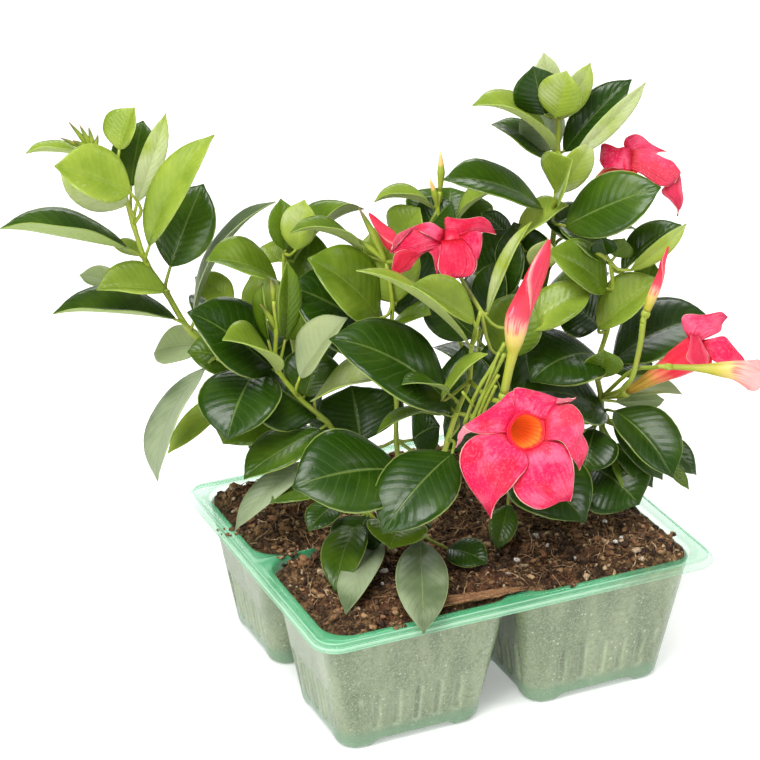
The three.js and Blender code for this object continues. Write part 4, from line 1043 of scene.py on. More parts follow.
shoots["rightMain"] = dict(
    plant="front_right", rooted=True,
    stem=[(78, 20, 68), (79, 22, 95), (77, 18, 117), (76, 14, 131), (73, 12, 148), (77, 10, 168), (79, 8, 191),
          (77, 6, 206)],
    leaves=[
        (7, (83, 8, 199), (110, 10, 224), 22, (-0.5, -0.3, 0.8), 40, 0.08, "g"),
        (7, (86, 2, 203), (112, 2, 227), 9, (0.2, -1, 0.2), 16, 0.1, "l"),
        (7, (76, 12, 203), (52, 20, 221), 34, (0.3, -0.1, 0.9), 14, 0.1, "g"),
        (7, (75, 5, 210), (72, 2, 220), 14, (-0.3, -0.8, 0.6), 16, 0.03, "m"),
        (7, (79, 5, 209), (83, 3, 219), 14, (0.2, -0.8, 0.6), 16, 0.03, "o"),
        (6, (76, 6, 192), (47, -6, 217), 27, (0.3, -0.6, 0.7), 24, 0.08, "o"),
        (5, (72, 4, 172), (101, 2, 199), 31, (-0.41, -0.51, 0.76), 38, 0.02, "y"),
        (6, (92, 10, 189), (99, 14, 202), 14, (0, -0.8, 0.6), 10, 0.1, "o"),
        (4, (73, 8, 156), (39, -16, 154), 44, (0.1, -0.3, 1), 10, 0.18, "m"),
        (4, (74, -6, 151), (74, -12, 168), 20, (0, -0.8, 0.6), 14, 0, "o"),
        (4, (81, 16, 149), (131, 26, 168), 48, (-0.2, -0.2, 1), 12, 0.12, "m"),
        (5, (74, 16, 168), (55, 20, 181), 34, (0.1, -0.5, 0.8), 10, 0.08, "m"),
        (4, (81, 14, 145), (101, 18, 148), 22, (0, -0.2, 1), 10, 0.08, "g"),
        (3, (83, 12, 133), (117, 22, 130), 20, (0, -0.1, 1), 14, 0.14, "w"),
        (3, (84, 20, 126), (109, 30, 123), 16, (0, -0.3, 0.9), 14, 0, "w"),
        (2, (56, 10, 126), (48, 14, 156), 30, (0.3, -0.8, 0.5), 10, 0.08, "m"),
        (2, (79, 10, 124), (35, -6, 143), 44, (0, -0.3, 1), 10, 0.12, "m"),
        (2, (82, 6, 128), (109, -22, 106), 34, (0.37, -0.64, 0.67), 30, 0.1, "m"),
        (2, (97, 22, 109), (126, 18, 87), 18, (0.3, -0.5, 0.8), 12, 0.08, "g"),
        (2, (103, 12, 103), (121, 8, 84), 9, (0.2, -0.5, 0.8), 14, 0.04, "o"),
        (2, (82, 10, 119), (106, -6, 96), 15, (0.18, -0.81, 0.56), 14, 0.14, "m"),
        (2, (82, 6, 110), (101, -8, 93), 13, (0.2, -0.79, 0.58), 16, 0.12, "m"),
        (1, (81, 2, 106), (93, -10, 87), 12, (0.35, -0.74, 0.57), 24, 0.1, "o"),
        (2, (72, 0, 121), (66, -17, 105), 30, (-0.1, -0.7, 0.7), 14, 0.1, "m"),
        (2, (66, -4, 121), (50, -14, 118), 22, (0, -0.8, 0.6), 10, 0.1, "m"),
        (1, (73, 2, 99), (94, -16, 88), 42, (0.1, -0.7, 0.7), 10, 0.12, "m"),
    ],
    tips=[(7, (64, 4, 216), 3)],
)
shoots["tallRight"] = dict(
    plant="back_right", rooted=True,
    stem=[(27, 58, 68), (36, 50, 113), (45, 42, 160), (51, 34, 201), (52, 30, 223), (52, 26, 254), (51, 24, 273),
          (44, 22, 284)],
    leaves=[
        (4, (46, 26, 225), (-2, 8, 248), 31, (0.3, -0.2, 0.9), 16, 0.09, "g"),
        (3, (32, 40, 203), (17, 40, 218), 14, (0, -0.5, 0.9), 14, 0.05, "m"),
        (6, (50, 20, 273), (54, 16, 297), 22, (-0.2, -0.9, 0.4), 14, 0, "l"),
        (6, (53, 23, 271), (66, 25, 298), 13, (0.2, -0.9, 0.3), 14, 0.04, "p"),
        (6, (45, 24, 273), (39, 20, 298), 26, (-0.1, -0.9, 0.5), 14, 0.04, "m"),
        (6, (49, 34, 272), (45, 38, 299), 14, (0, -0.9, 0.4), 14, 0.03, "v"),
        (5, (50, 22, 255), (11, 10, 284), 36, (0.4, 0, 0.9), 28, 0.12, "y"),
        (5, (52, 32, 253), (37, 40, 271), 24, (0.1, -0.8, 0.6), 14, 0.04, "s"),
        (5, (49, 30, 248), (21, 36, 265), 27, (0.4, -0.2, 0.9), 14, 0.1, "g"),
        (5, (55, 28, 253), (86, 33, 288), 20, (-0.2, -0.8, 0.6), 20, 0.08, "m"),
        (5, (59, 16, 255), (92, 20, 290), 10, (0.2, -0.9, 0.2), 16, 0.06, "v"),
        (4, (51, 14, 237), (56, -4, 261), 32, (-0.49, -0.66, 0.57), 33, 0, "y"),
        (4, (52, 15, 237), (67, 15, 263), 15, (0.2, -0.9, 0.3), 14, 0.05, "p"),
        (4, (55, 8, 223), (98, -4, 248), 31, (-0.1, -0.7, 0.7), 10, 0.06, "g"),
        (3, (34, 20, 210), (57, 20, 230), 30, (-0.5, -0.1, 0.9), 30, 0.04, "y"),
        (3, (61, 38, 208), (95, 52, 204), 26, (0, 0, 1), 14, 0.1, "m"),
        (2, (41, 32, 163), (70, 6, 193), 38, (-0.2, -0.3, 0.9), 14, 0.1, "o"),
        (3, (74, 26, 207), (45, 28, 222), 26, (0.1, -0.5, 0.9), 16, 0.08, "m"),
        (3, (58, 30, 204), (78, 26, 220), 24, (-0.1, -0.6, 0.8), 16, 0.08, "g"),
        (2, (44, 30, 186), (32, 26, 218), 30, (-0.3, -0.8, 0.5), 14, 0.06, "m"),
        (3, (42, 6, 202), (47, 4, 218), 15, (0.2, -0.8, 0.5), 14, 0.05, "p"),
    ],
    tips=[(7, (42, 22, 295), 3)],
)
shoots["midRight"] = dict(
    plant="back_right",
    stem=[(27, 58, 78), (18, 54, 111), (5, 50, 156), (0, 46, 190), (-4, 42, 218), (-3, 42, 228)],
    leaves=[
        (5, (-6, 44, 218), (-35, 40, 224), 22, (0, 0.1, 1), 34, 0.12, "y"),
        (3, (-23, 40, 201), (-13, 38, 221), 26, (-0.3, -0.7, 0.7), 18, 0.05, "y"),
        (4, (-10, 40, 206), (3, 44, 222), 26, (-0.2, -0.5, 0.8), 16, 0.08, "m"),
        (3, (1, 54, 205), (3, 66, 221), 44, (0, -0.8, 0.6), 10, 0.05, "g"),
        (4, (6, 48, 211), (31, 46, 229), 26, (-0.5, 0, 0.9), 32, 0.1, "y"),
        (3, (-7, 40, 171), (-20, 31, 197), 42, (0.1, -0.7, 0.7), 10, 0.05, "m"),
    ],
    tips=[(5, (-3, 42, 248), 4), (4, (-8, 40, 235), 3.4)], tipTone=2.4,
)
shoots["backInner"] = dict(
    plant="back_right",
    stem=[(18, 54, 111), (17, 36, 149), (18, 32, 175)],
    leaves=[
        (1, (14, 8, 166), (-11, 14, 188), 25, (0, -0.9, 0.4), 12, 0.06, "m"),
        (1, (18, 22, 163), (26, 18, 202), 22, (-0.5, -0.7, 0.5), 14, 0.05, "m"),
        (2, (19, 30, 180), (34, 24, 214), 34, (-0.4, -0.7, 0.6), 12, 0.06, "m"),
    ],
)
shoots["backLow"] = dict(
    plant="back_right",
    stem=[(27, 58, 78), (30, 30, 84), (31, 8, 98), (30, -4, 91)],
    leaves=[
        (2, (35, 0, 100), (66, -42, 93), 40, (-0.1, -0.4, 0.9), 10, 0.1, "m"),
        (2, (17, 0, 115), (8, 10, 161), 34, (-0.3, -0.9, 0.3), 12, 0.08, "m"),
        (2, (36, 6, 123), (26, 16, 166), 34, (-0.3, -0.9, 0.3), 12, 0.08, "m"),
        (3, (30, -20, 90), (24, -41, 77), 14, (0, -0.8, 0.6), 14, 0.08, "g"),
    ],
)

# The far side's leaves: a pair at each listed node, turned back and out by a seeded draw.
farLeaves = dict(
    seed=11, shoots={"tallLeft": [2], "midLeft": [2], "tallRight": [1, 2], "midRight": [2]},
    petiole=9, length=(38, 50), widthShare=0.6, spread=65, fold=14, arch=0.12,
)

# A bloom's sheets are given in mm from its throat, x to the right, y up and z towards the front:
# (one edge, the other edge, z at base, middle and tip, lift of the two edges, tone). The tone is painted
# shade below 0.5 and painted highlight above it. Both edges end at the tip. Sheets under "turned" show
# their underside. The tube is (share of its length, radius), ring is how far the sheets stay from the
# throat's middle, and the tube of a shut bloom keeps its end.
blooms = {}
blooms["front"] = dict(
    shoot="frontMain", node=5, stalk=[(14, -26, 140)], throat=(35, -66, 152), root=(25, -26, 138),
    tube=[(0, 1.5), (0.12, 1.75), (0.3, 2.1), (0.42, 2.8), (0.52, 4.2), (0.64, 5.8), (0.78, 7.0), (0.9, 7.6),
          (1.0, 7.9), (1.015, 8.4), (1.03, 9.6)],
    ring=8.0,
    sheets=[
        ([(-7, -1.5), (-13.5, -0.8), (-21, -1.2), (-25.5, -3.2), (-29, -6.8), (-30.5, -11), (-30.5, -15.5),
          (-29, -20), (-26.5, -25), (-22.5, -30.5), (-18.5, -36), (-16, -40.5)],
         [(-3.5, -7), (-0.5, -9.5), (1, -13.5), (-0.5, -17.5), (-3.5, -21), (-6.5, -25), (-9, -28), (-12, -30.5),
          (-14, -33.5), (-15.5, -37), (-16, -40.5)], (0.4, 1.0, -11), (-1.2, 1.6), 0.5),
        ([(-3, -7.5), (-4.5, -12.5), (-6.5, -20), (-6, -26.5), (-3, -31.5), (1.5, -34.5), (5.5, -36), (9, -35.5),
          (13, -34), (16.5, -32.5), (20.5, -32.5)],
         [(5.5, -4), (13.5, -4.3), (18.5, -7.5), (21, -13), (22, -18.5), (22, -24.5), (21.5, -30), (20.5, -32.5)],
         (0.2, -0.5, -10), (-1.4, 0.8), 0.5),
        ([(8, 5), (12, 10.5), (16.5, 12), (20.5, 12.5), (23.5, 10), (25.5, 7), (26.5, 3), (26.5, 0.5), (25.5, -1),
          (27, -3.5), (28.5, -7), (28, -10), (26.5, -14), (24.5, -18)],
         [(7, -4.5), (11, -4), (15.5, -4.5), (18.5, -8), (20.5, -12), (23, -15), (24.5, -18)],
         (0.3, 1.5, -7), (0.4, 1.4), 0.58),
        ([(-6, 3), (-5, 9.5), (-5.5, 15), (-6, 19.5), (-3, 20), (2, 19), (8, 17.5), (12, 16), (15.5, 15), (22, 14.5)],
         [(8, 5), (12.5, 8), (14, 10.5), (16, 12), (19, 12.5), (22, 14.5)], (0.3, 1.2, -1.5), (1.6, -1.2), 0.5),
        ([(-3, 6.5), (-4, 13), (-5.6, 18.6), (-12, 14), (-17.5, 10), (-23.5, 6), (-29, 2.5)],
         [(-8, -1), (-13, -1), (-19, -1.3), (-23.5, -0.7), (-26.5, 0.5), (-29, 2.5)],
         (0.2, 1.0, 1.5), (-1.6, 1.2), 0.46),
    ],
    turned=[
        ([(-28.5, 3), (-30.5, 0), (-31.5, -4), (-32, -7.5)], [(-24.5, 0), (-27.5, -1), (-29.5, -3.5), (-32, -7.5)],
         (1.8, 1.6, -1), (0, 0), 0.85),
        ([(14, 15.2), (17, 15), (19, 15), (22.5, 15.3)], [(13.5, 12.8), (17, 13.2), (19.5, 13.6), (22.5, 15.3)],
         (0.9, 0.8, 0.4), (0, 0), 0.75),
    ],
)
blooms["upper_left"] = dict(
    shoot="frontMain", node=8, stalk=[(9, 4, 194)], throat=(1, -7, 223), root=(4, 19, 199), shut=True,
    tube=[(0, 1.5), (0.15, 1.8), (0.35, 2.2), (0.5, 3.2), (0.65, 4.2), (0.8, 4.5), (0.92, 4.5), (0.97, 4.4),
          (1.0, 4.3), (1.02, 4.2), (1.03, 4.1)],
    ring=0,
    sheets=[
        ([(-2.5, 5), (-2.5, 10), (2, 9.5), (8, 9.5), (14, 10.5), (18, 8.5), (20, 5.5), (21.5, 2.5)],
         [(-4, -1), (3, 0), (8, 2), (14, 3), (17.5, 3), (21.5, 2.5)], (-2, -2, -6), (0, 0.5), 0.24),
        ([(3.5, 1), (6.5, -2.5), (9, -8), (10.5, -12), (11.5, -14.5)],
         [(8, 3.5), (14, 3), (14.5, -2), (13.5, -7.5), (12, -12), (11.5, -14.5)], (1, 4, 5), (0.5, 0), 0.34),
        ([(-4.5, -1), (-5, -6), (-6, -11), (-6, -14.5), (-4, -17.5), (1, -19)],
         [(5.5, 0), (9, -4), (11.5, -8.5), (12, -13), (9, -17.5), (1, -19)], (3, 8, 9), (0, -1.5), 0.22),
        ([(-3.5, -3.5), (-6.5, -4.8), (-10.5, -6), (-13.5, -7.2), (-18, -8), (-22, -7.8), (-25.5, -7), (-28, -6)],
         [(-2.5, 4), (-6, 5.5), (-9, 7), (-12.5, 7), (-16.5, 5.5), (-20, 4), (-24, 2), (-26, -1), (-28, -6)],
         (1, 4, 0), (0, 0), 0.26),
        ([(-4.5, -2), (-9.5, 0.5), (-14, 3), (-17.5, 5.5)],
         [(-3, 3.5), (-6, 5.7), (-9, 7.2), (-12.5, 7.2), (-17.5, 5.5)],
         (3, 6, 4), (0.5, -1), 0.5),
    ],
    turned=[
        ([(-10.5, -4.5), (-18, -6), (-22.5, -5.5), (-26, -7.5), (-27, -11), (-27.5, -14.5), (-26.5, -18.5)],
         [(-9.5, -5.5), (-13.5, -7.5), (-16.5, -11), (-19, -14.5), (-22, -15.5), (-26.5, -18.5)],
         (2, 4, 2), (0, 0), 0.12),
        ([(-17.5, 5.5), (-20, 4.2), (-24, 2.4), (-26.3, -1), (-28.2, -6.5)],
         [(-18.5, 3.5), (-21, 1), (-23.5, -2), (-28.2, -6.5)],
         (5, 4, 1), (0, 0), 0.62),
        ([(-12.5, -5), (-9, -7.5), (-7.5, -11.5), (-6.5, -17.5)], [(-4, -2), (-4.7, -6), (-5.7, -11), (-6.5, -17.5)],
         (1, 4, 6), (0, 0.5), 0.4),
    ],
)
blooms["upper_right"] = dict(
    shoot="tallRight", node=4, stalk=[(60, 36, 218)], throat=(86, 25, 247), root=(68, 35, 223),
    tube=[(0, 1.5), (0.15, 1.8), (0.3, 2.2), (0.45, 2.8), (0.6, 3.4), (0.75, 4.0), (0.88, 4.5), (0.96, 4.7),
          (1.0, 4.8), (1.02, 5.0), (1.03, 5.4)],
    ring=0, bend=[(74, 33, 238)],
    sheets=[
        ([(1.5, 7), (-2.5, 9), (-5.5, 8.5), (-9, 10), (-13, 10.5), (-13.7, 7.5), (-14, 3)],
         [(1.5, -2.5), (-3.5, -1.8), (-8, -1), (-12, -1.3), (-14, 3)], (2, 3, 0), (-1, 0.5), 0.47),
        ([(0.5, 6.5), (-2.5, 9.5), (-2, 13), (0, 14.5), (3, 15.5), (6.5, 14.5), (10, 11.5), (13.5, 9.5), (18.5, 7.5)],
         [(3.5, 5), (6.5, 6.5), (10, 6.3), (13, 6), (14, 6.8), (18.5, 7.5)], (0, -1, -5), (-1, 1), 0.5),
        ([(1.5, 8), (6.5, 7.3), (12, 5.5), (16, 3.5), (20, 2), (22.5, -1), (24, -3.5), (21, -8)],
         [(0.5, -2), (5, -4), (9, -7), (13, -9.5), (16.5, -10), (19, -9.3), (21, -8)], (3, 6, 2), (0, 0), 0.6),
    ],
    turned=[
        ([(18, -5), (17.5, -8.5), (15, -12), (18.5, -15.5), (21, -18.5), (22.5, -20.5), (23, -23.5)],
         [(23.5, -2.5), (24.5, -7.5), (25, -11.5), (25.5, -15.5), (24.5, -19.5), (23.5, -20.8), (23, -23.5)],
         (1, 1, -1), (0, -1.5), 0.5),
    ],
)
blooms["right"] = dict(
    shoot="rightMain", node=3, stalk=[], throat=(119, -8, 166), root=(88, 6, 138),
    tube=[(0, 1.5), (0.08, 2.4), (0.22, 3.0), (0.38, 4.0), (0.52, 5.2), (0.66, 6.6), (0.8, 7.4), (0.92, 8.0),
          (1.0, 8.2), (1.02, 8.4), (1.03, 8.8)],
    ring=0,
    sheets=[
        ([(-4.5, 5), (-8, 11.5), (-8, 16.5), (-3.5, 17.5), (1, 17), (7, 18), (11.5, 18.5), (14.5, 16)],
         [(-0.5, 3), (2.5, 5.5), (7, 7.5), (10.5, 9.5), (11.5, 12.5), (12.5, 14), (14.5, 16)],
         (4, 5, -2), (1, -1), 0.5),
        ([(0.5, 5), (6, 6), (12, 7), (15, 4), (18.5, 0), (22, -4.5), (21, -8), (16.5, -12.5)],
         [(1.5, -0.5), (4.5, -2), (7, -5), (11.5, -6), (16, -6), (17.5, -7.5), (17, -10), (16.5, -12.5)],
         (3, 4, -1), (0, 1), 0.4),
    ],
    turned=[
        ([(-4.5, 7.5), (-5.5, 0.5), (-6.5, -3.5), (-4.5, -6), (-2, -8.5), (0.5, -10)],
         [(-0.5, 7), (2, 1.5), (4, -3), (3.5, -6), (2.5, -8.5), (0.5, -10)], (7, 9.5, 9), (0, 0), 0.32),
    ],
)
buds = {}
buds["front"] = dict(
    shoot="frontMain", node=6, stalk=[(18, -42, 158)], stalkRadius=1.3,
    ramp=(0, 1.0),
    body=[((25, -56, 167), 4), ((27, -56, 179), 4.2), ((28.5, -56, 187), 5), ((29, -56, 192), 8),
          ((29.5, -56, 198), 10.2), ((30.2, -56, 204), 11.2), ((32.4, -55, 210), 12), ((35, -54.5, 216), 11.6),
          ((37.5, -53.5, 222), 9), ((41, -52, 231), 5), ((44, -50, 240), 0.8)],
    laps=[([(-4.5, 0), (-3, 3), (-1, 7), (1.5, 11.5), (4.5, 18)], [(5.5, -1), (5.5, 3), (5, 8.5), (5, 13), (4.5, 18)],
           (4.6, 6.4, 5.6), (0.2, 0), 0.8)],
    lapsFrom=(30, -56, 204),
)
buds["right"] = dict(
    shoot="rightMain", node=3, stalk=[(87, -6, 148), (91, -10, 168)], stalkRadius=1.5, ramp=(0.2, 1.0),
    body=[((93.5, -12, 189), 3.6), ((95, -12, 194), 4.6), ((96.5, -12, 198.5), 5), ((98, -12, 203), 4.4),
          ((99.3, -12, 208), 3.8), ((99.8, -12, 213), 3.2), ((101, -12, 217), 1.7), ((102, -12, 221), 0.6)],
)
buds["lying"] = dict(
    shoot="rightMain", node=3, stalk=[(89, 0, 152), (97, -18, 162)], stalkRadius=1.1, ramp=(0.0, 0.72), paler=0.82,
    body=[((105, -26, 166), 2.6), ((114, -27, 166), 3), ((121, -28, 166), 4.6), ((128, -29, 166), 7.4),
          ((134, -30, 166), 9), ((141, -32, 165), 10.5), ((145, -32, 164), 9), ((147, -32, 164), 5)],
)
buds["left"] = dict(
    shoot="frontRear", node=6, stalk=[], stalkRadius=1.05, ramp=(0.52, 1.0),
    body=[((-23, 2, 213), 5), ((-26, 2, 217), 7.8), ((-28.5, 2, 221), 7.6), ((-33, 1, 227), 4.2), ((-37, 0, 233), 0.8)],
)
flowerSize = dict(
    seatGap=0.35, around=44, ribs=5, ribDepth=0.007, ribsStart=(0.35, 0.6), ribsEnd=(0.7, 0.85), capReach=3,
    bulge=0.09, ripple=0.5, ripples=11, thickness=0.45, lapThickness=0.4,
)
budSize = dict(steps=6, around=40, tone=0.5, paleFrom=(0.45, 0.8))
pedicelSize = dict(
    start=1.05, thick=1.05, cup=2.1, length=5.0, collar=1.2, flare=(0.75, 1.0, 1.08),
    sepals=5, sepalRadii=(0.6, 0.45, 0.1),
)
sheetSize = dict(along=22, across=14)

# The spent flower stalks that stand together under the front bud, as points and a radius.
oldStalks = [
    ([(7.5, -42, 144), (13, -45, 162), (20, -48, 177), (25, -50, 189)], 1.1),
    ([(10.5, -44, 146), (16, -47, 162), (21.5, -49, 175), (25, -51, 184)], 1.2),
    ([(13.5, -45, 149), (18, -48, 163), (22.5, -50, 173)], 1.0),
    ([(16, -46, 152), (19.5, -49, 162), (21.5, -50, 167.5)], 0.9),
    ([(6, -50, 164.5), (11.5, -48, 156)], 0.8),
    ([(15, -46, 159), (18.5, -50, 172), (22.5, -52, 185.5)], 0.7),
]


def makeLeaf(leaves, stems, stem, leaf, phase):
    node, base, tip, width, face, fold, arch, letter = leaf
    tone = toneOf[letter]
    addBlade(leaves, base, tip, width, face, fold, arch, leafShape, tone, phase)
    start, base, tip = Vector(stem[node]), Vector(base), Vector(tip)
    reach = (base - start).length
    sag = base.lerp(start, 0.45) + (tip - base).normalized() * -reach * stemSize["petioleSag"]
    path = smoothPath([start, sag, base + (tip - base) * 0.02], 3)
    radii = [stemSize["petiole"] * blendTo(*stemSize["petioleEnds"], share) for share in sharesOf(path)]
    addTube(stems, path, radii, 6, 0.55 + tone * 0.45)


def addStem(stems, shoot):
    points = [Vector(p) for p in shoot["stem"]]
    thick, footTone = stemSize["branch"], 0.35
    if shoot.get("rooted"):
        thick, footTone = stemSize["trunk"], 0.0
        foot = points.pop(0)
        points = [Vector((foot.x, foot.y, height)) for height in stemSize["trunkHeights"]] + points
    path = smoothPath(points, 5)
    radii = [blendTo(thick, stemSize["tip"], share) for share in sharesOf(path)]
    for i in range(5, len(path) - 1, 5):  # the nodes are thicker
        radii[i] *= stemSize["knuckle"]
    addTube(stems, path, radii, 10, lambda share: blendTo(footTone, 1.0, min(share * 1.6, 1)))


def makeShoot(leaves, stems, name, shoot, draw, farDraw):
    stem = shoot["stem"]
    addStem(stems, shoot)
    for leaf in shoot["leaves"]:
        makeLeaf(leaves, stems, stem, leaf, next(draw))
    endTone = shoot.get("tipTone", 0)
    for node, point, width in shoot.get("tips", []):
        start, end = Vector(stem[node]), Vector(point)
        path = smoothPath([start, start.lerp(end, 0.45) + Vector((0.4, 0, 0.3)), end], 4)
        radii = [width / 2 * alongList(stemSize["tipShape"], share) for share in sharesOf(path)]
        addTube(stems, path, radii, 7, lambda share: blendTo(0.9, endTone, smooth(0.5, 1, share)))
    for node in farLeaves["shoots"].get(name, []):
        for hand in (-1, 1):
            angle = math.radians(90 + hand * farLeaves["spread"] * (0.4 + 0.6 * next(farDraw)))
            out = Vector((math.cos(angle), math.sin(angle), 0.15 + 0.35 * next(farDraw)))
            length = blendTo(*farLeaves["length"], next(farDraw))
            base = Vector(stem[node]) + out * farLeaves["petiole"]
            width = length * farLeaves["widthShare"]
            face = (0.2 * hand, 0, 1)
            leaf = (node, base, base + out * length, width, face, farLeaves["fold"], farLeaves["arch"], "m")
            makeLeaf(leaves, stems, stem, leaf, next(draw))


def makePedicel(stems, start, stalk, root, heading, thick=pedicelSize["thick"], cupSize=pedicelSize["cup"]):
    seat = root - heading * flowerSize["seatGap"]
    foot = seat - heading * pedicelSize["length"]
    path = smoothPath([start, *stalk, foot], 5)
    addTube(stems, path, [blendTo(pedicelSize["start"], thick, share) for share in sharesOf(path)], 8, 0.85)
    cup = [foot - heading * pedicelSize["collar"], foot, foot.lerp(seat, 0.5), seat]
    addTube(stems, cup, [thick] + [cupSize * flare for flare in pedicelSize["flare"]], 10, 0.9)
    side = heading.orthogonal().normalized()
    for k in range(pedicelSize["sepals"]):
        out = Matrix.Rotation(k / pedicelSize["sepals"] * math.pi * 2, 3, heading) @ side
        base = foot.lerp(seat, 0.4) + out * cupSize * 0.85
        sepal = [base, base + heading * 1.8 + out * 0.3, seat + heading * 1.6 + out * cupSize * 0.5]
        addTube(stems, sepal, pedicelSize["sepalRadii"], 5, 0.9)


def makePlant(plant, draw, farDraw):
    leaves, stems = newShape(), newShape()
    for name, shoot in shoots.items():
        if shoot["plant"] != plant:
            continue
        makeShoot(leaves, stems, name, shoot, draw, farDraw)
        for bloom in blooms.values():
            if bloom["shoot"] == name:
                start, root = Vector(shoot["stem"][bloom["node"]]), Vector(bloom["root"])
                heading = (Vector(bloom["throat"]) - root).normalized()
                makePedicel(stems, start, bloom["stalk"], root, heading)
        for bud in buds.values():
            if bud["shoot"] == name:
                start, cupSize = Vector(shoot["stem"][bud["node"]]), bud["body"][0][1] / 2
                root, after = (Vector(point) for point, width in bud["body"][:2])
                makePedicel(stems, start, bud["stalk"], root, (after - root).normalized(), bud["stalkRadius"], cupSize)
    if plant == "front_left":
        for points, radius in oldStalks:
            path = smoothPath(points, 5)
            radii = [radius * (0.9 + 0.08 * math.sin(i * 2.1)) for i in range(len(path))]
            addTube(stems, path, radii, 7, 0.85)
    node = "vine_" + plant
    makePiece("leaves_" + plant, leaves, plantsToRow, [leafUpper, leafUnder], [node], leafShape["thickness"], 1)
    makePiece("stems_" + plant, stems, plantsToRow, [stemGreen], [node])


draw, farDraw = drawFrom(5), drawFrom(farLeaves["seed"])
for plant in ("front_left", "front_right", "back_left", "back_right"):
    makePlant(plant, draw, farDraw)
print("plants made")


# flowers
viewRise, viewFlat = 0.4233, 0.906  # sine and cosine of the camera's height over the plants
viewFrame = Matrix(((1, 0, 0), (0, viewRise, -viewFlat), (0, viewFlat, viewRise))).to_4x4()


def evenly(path, count):  # count + 1 points, evenly spaced along a path
    lengths = [0]
    for a, b in zip(path, path[1:]):
        lengths.append(lengths[-1] + (b - a).length)
    points, k = [], 0
    for i in range(count + 1):
        goal = lengths[-1] * i / count
        while k < len(path) - 2 and lengths[k + 1] < goal:
            k += 1
        points.append(path[k].lerp(path[k + 1], (goal - lengths[k]) / (lengths[k + 1] - lengths[k])))
    return points


def addSheet(whole, place, sheet, ring, turned, phase):
    *edges, depth, lift, tone = sheet
    start, middle, end = depth
    bm = newShape()
    toneLayer = bm.verts.layers.float["tone"]
    uvLayer = bm.loops.layers.uv["blade"]
    rows, columns = sheetSize["along"], sheetSize["across"]
    left, right = (evenly(smoothPath([(x, y, 0) for x, y in edge], 5), rows) for edge in edges)
    wide = max((a - b).length for a, b in zip(left, right))
    for vert in bmesh.ops.create_grid(bm, x_segments=rows, y_segments=columns, size=0.5)["verts"]:
        u, v = vert.co.x + 0.5, vert.co.y + 0.5
        for loop in vert.link_loops:
            loop[uvLayer].uv = (u, v)
        i = round(u * rows)
        point = left[i].lerp(right[i], v)
        z = start * (1 - u) * (1 - 2 * u) + 4 * middle * u * (1 - u) + end * u * (2 * u - 1)
        z += blendTo(*lift, v) * min(u * 3, 1)
        z += flowerSize["bulge"] * wide * math.sin(math.pi * v) * math.sin(math.pi * min(u * 1.2, 1))
        turn = u * flowerSize["ripples"] + phase * 5 + v * 3
        z += flowerSize["ripple"] * math.sin(turn) * abs(2 * v - 1) ** 2 * min(u * 2, 1)
        spread = max(math.hypot(point.x, point.y), 0.01)
        point *= (spread ** 8 + ring ** 8) ** 0.125 / spread  # keeps clear of the throat
        vert.co = (point.x, point.y, z)
        vert[toneLayer] = tone
    bm.normal_update()
    facing = sum(face.normal.z * face.calc_area() for face in bm.faces)
    if (facing < 0) != turned:
        bmesh.ops.reverse_faces(bm, faces=bm.faces)
    bm.transform(place)
    addShape(whole, bm)


def makeBloom(name, bloom):
    bm = newShape()
    root, throat = Vector(bloom["root"]), Vector(bloom["throat"])
    shares, radii = zip(*bloom["tube"])
    middle = evenly(smoothPath([root, *bloom.get("bend", []), throat], 8), 100)
    flare = (middle[-1] - middle[-3]).normalized() * (throat - root).length
    path = [middle[round(share * 100)] if share <= 1 else throat + flare * (share - 1) for share in shares]

    def ribbed(share, around):
        ribs = flowerSize["ribDepth"] * math.cos(around * 2 * math.pi * flowerSize["ribs"])
        return 1 + ribs * smooth(*flowerSize["ribsStart"], share) * (1 - smooth(*flowerSize["ribsEnd"], share))

    tube = newShape()
    addTube(tube, path, radii, flowerSize["around"], material=1, shapeAt=ribbed)
    if not bloom.get("shut"):  # a throat that shows is open
        caps = [face for face in tube.faces if len(face.verts) > 4]
        caps = [face for face in caps if (face.calc_center_median() - throat).length < flowerSize["capReach"]]
        bmesh.ops.delete(tube, geom=caps, context="FACES_ONLY")
    addShape(bm, tube)
    place = Matrix.Translation(throat) @ viewFrame
    for turned, key in ((False, "sheets"), (True, "turned")):
        for k, sheet in enumerate(bloom[key]):
            addSheet(bm, place, sheet, bloom["ring"], turned, k)
    materials = [petalUpper, tubeOutside, petalUnder, throatInside]
    makePiece("flower_" + name, bm, plantsToRow, materials, ["bloom_" + name], flowerSize["thickness"], 2)


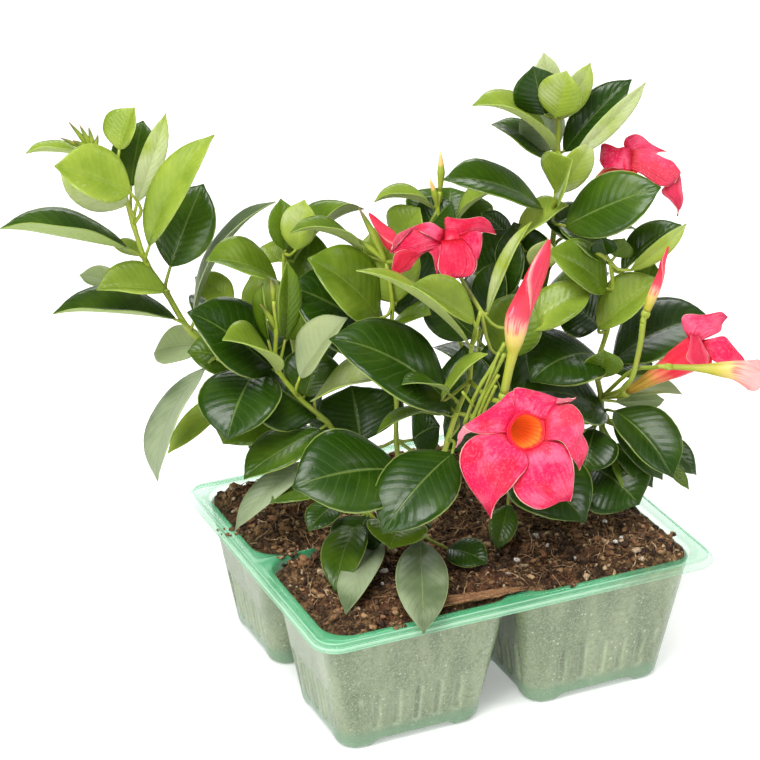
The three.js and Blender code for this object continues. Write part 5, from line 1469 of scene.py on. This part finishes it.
def makeBud(name, bud):
    bm = newShape()
    path = smoothPath([point for point, width in bud["body"]], budSize["steps"])
    widths = smoothPath([(k, width, 0) for k, (point, width) in enumerate(bud["body"])], budSize["steps"])
    paler = bud.get("paler", budSize["tone"])

    def wound(share, around):  # petals rolled round each other
        lap = (around * woundPetals["laps"] + share * woundPetals["twist"]) % 1
        depth = woundPetals["depth"]
        return 1 + (depth * lap - depth / 2) * smooth(*woundPetals["start"], share)

    def fading(share):
        return blendTo(budSize["tone"], paler, smooth(*budSize["paleFrom"], share))

    addTube(bm, path, [abs(width.y) / 2 for width in widths], budSize["around"], fading, shapeAt=wound)
    alongLayer = bm.verts.layers.float["along"]
    for vert in bm.verts:
        vert[alongLayer] = blendTo(*bud["ramp"], vert[alongLayer])
    node = "bud_" + name
    makePiece(node + "_rolled", bm, plantsToRow, [budSkin], [node])
    if "laps" in bud:
        bm = newShape()
        place = Matrix.Translation(Vector(bud["lapsFrom"])) @ viewFrame
        for k, sheet in enumerate(bud["laps"]):
            addSheet(bm, place, sheet, 0, False, k)
        materials = [petalUpper, petalUnder]
        makePiece(node + "_lap", bm, plantsToRow, materials, [node], flowerSize["lapThickness"], 1)


for name, bloom in blooms.items():
    makeBloom(name, bloom)
for name, bud in buds.items():
    makeBud(name, bud)
print("flowers made")


# floor and light
stageSetup = dict(
    floorReach=6, floorDepth=0.0003, floorGlow=0.3, aim=(0, 0, 0.12), sky=0.36,
    lamps=dict(
        over=dict(place=(-0.5, -0.5, 1.5), size=(0.8, 0.8), power=30),
        left=dict(place=(-1.5, -0.9, 0.8), size=(0.6, 1.1), power=14),
        right=dict(place=(1.4, -0.8, 0.9), size=(0.6, 1.0), power=9),
        back=dict(place=(0.6, 1.5, 1.2), size=(1.2, 0.8), power=14),
    ),
)


def makeFloor():
    bm = bmesh.new()
    bmesh.ops.create_grid(bm, x_segments=1, y_segments=1, size=stageSetup["floorReach"])
    bm.transform(Matrix.Translation((0, 0, -stageSetup["floorDepth"])))
    mesh = bpy.data.meshes.new("floor")
    bm.to_mesh(mesh)
    bm.free()
    p = Paint("paleFloor")
    mesh.materials.append(p.surface(p.principled(
        Base_Color=(0.9, 0.9, 0.9, 1), Roughness=0.8, Emission_Color=(1, 1, 1, 1),
        Emission_Strength=stageSetup["floorGlow"])))
    floor = bpy.data.objects.new("floor", mesh)
    scene.collection.objects.link(floor)


def makeLight(name, place, size, power):
    light = bpy.data.lights.new(name, "AREA")
    light.shape = "RECTANGLE"
    light.size, light.size_y = size
    light.energy = power
    lamp = bpy.data.objects.new(name, light)
    lamp.location = place
    lamp.rotation_euler = (Vector(stageSetup["aim"]) - Vector(place)).to_track_quat("-Z", "Y").to_euler()
    scene.collection.objects.link(lamp)


makeFloor()
for name, lamp in stageSetup["lamps"].items():
    makeLight(name, **lamp)
world = bpy.data.worlds.new("studio")
scene.world = world
world.use_nodes = True
sky = world.node_tree.nodes["Background"].inputs
sky[0].default_value = (1, 1, 1, 1)
sky[1].default_value = stageSetup["sky"]
print("stage made")
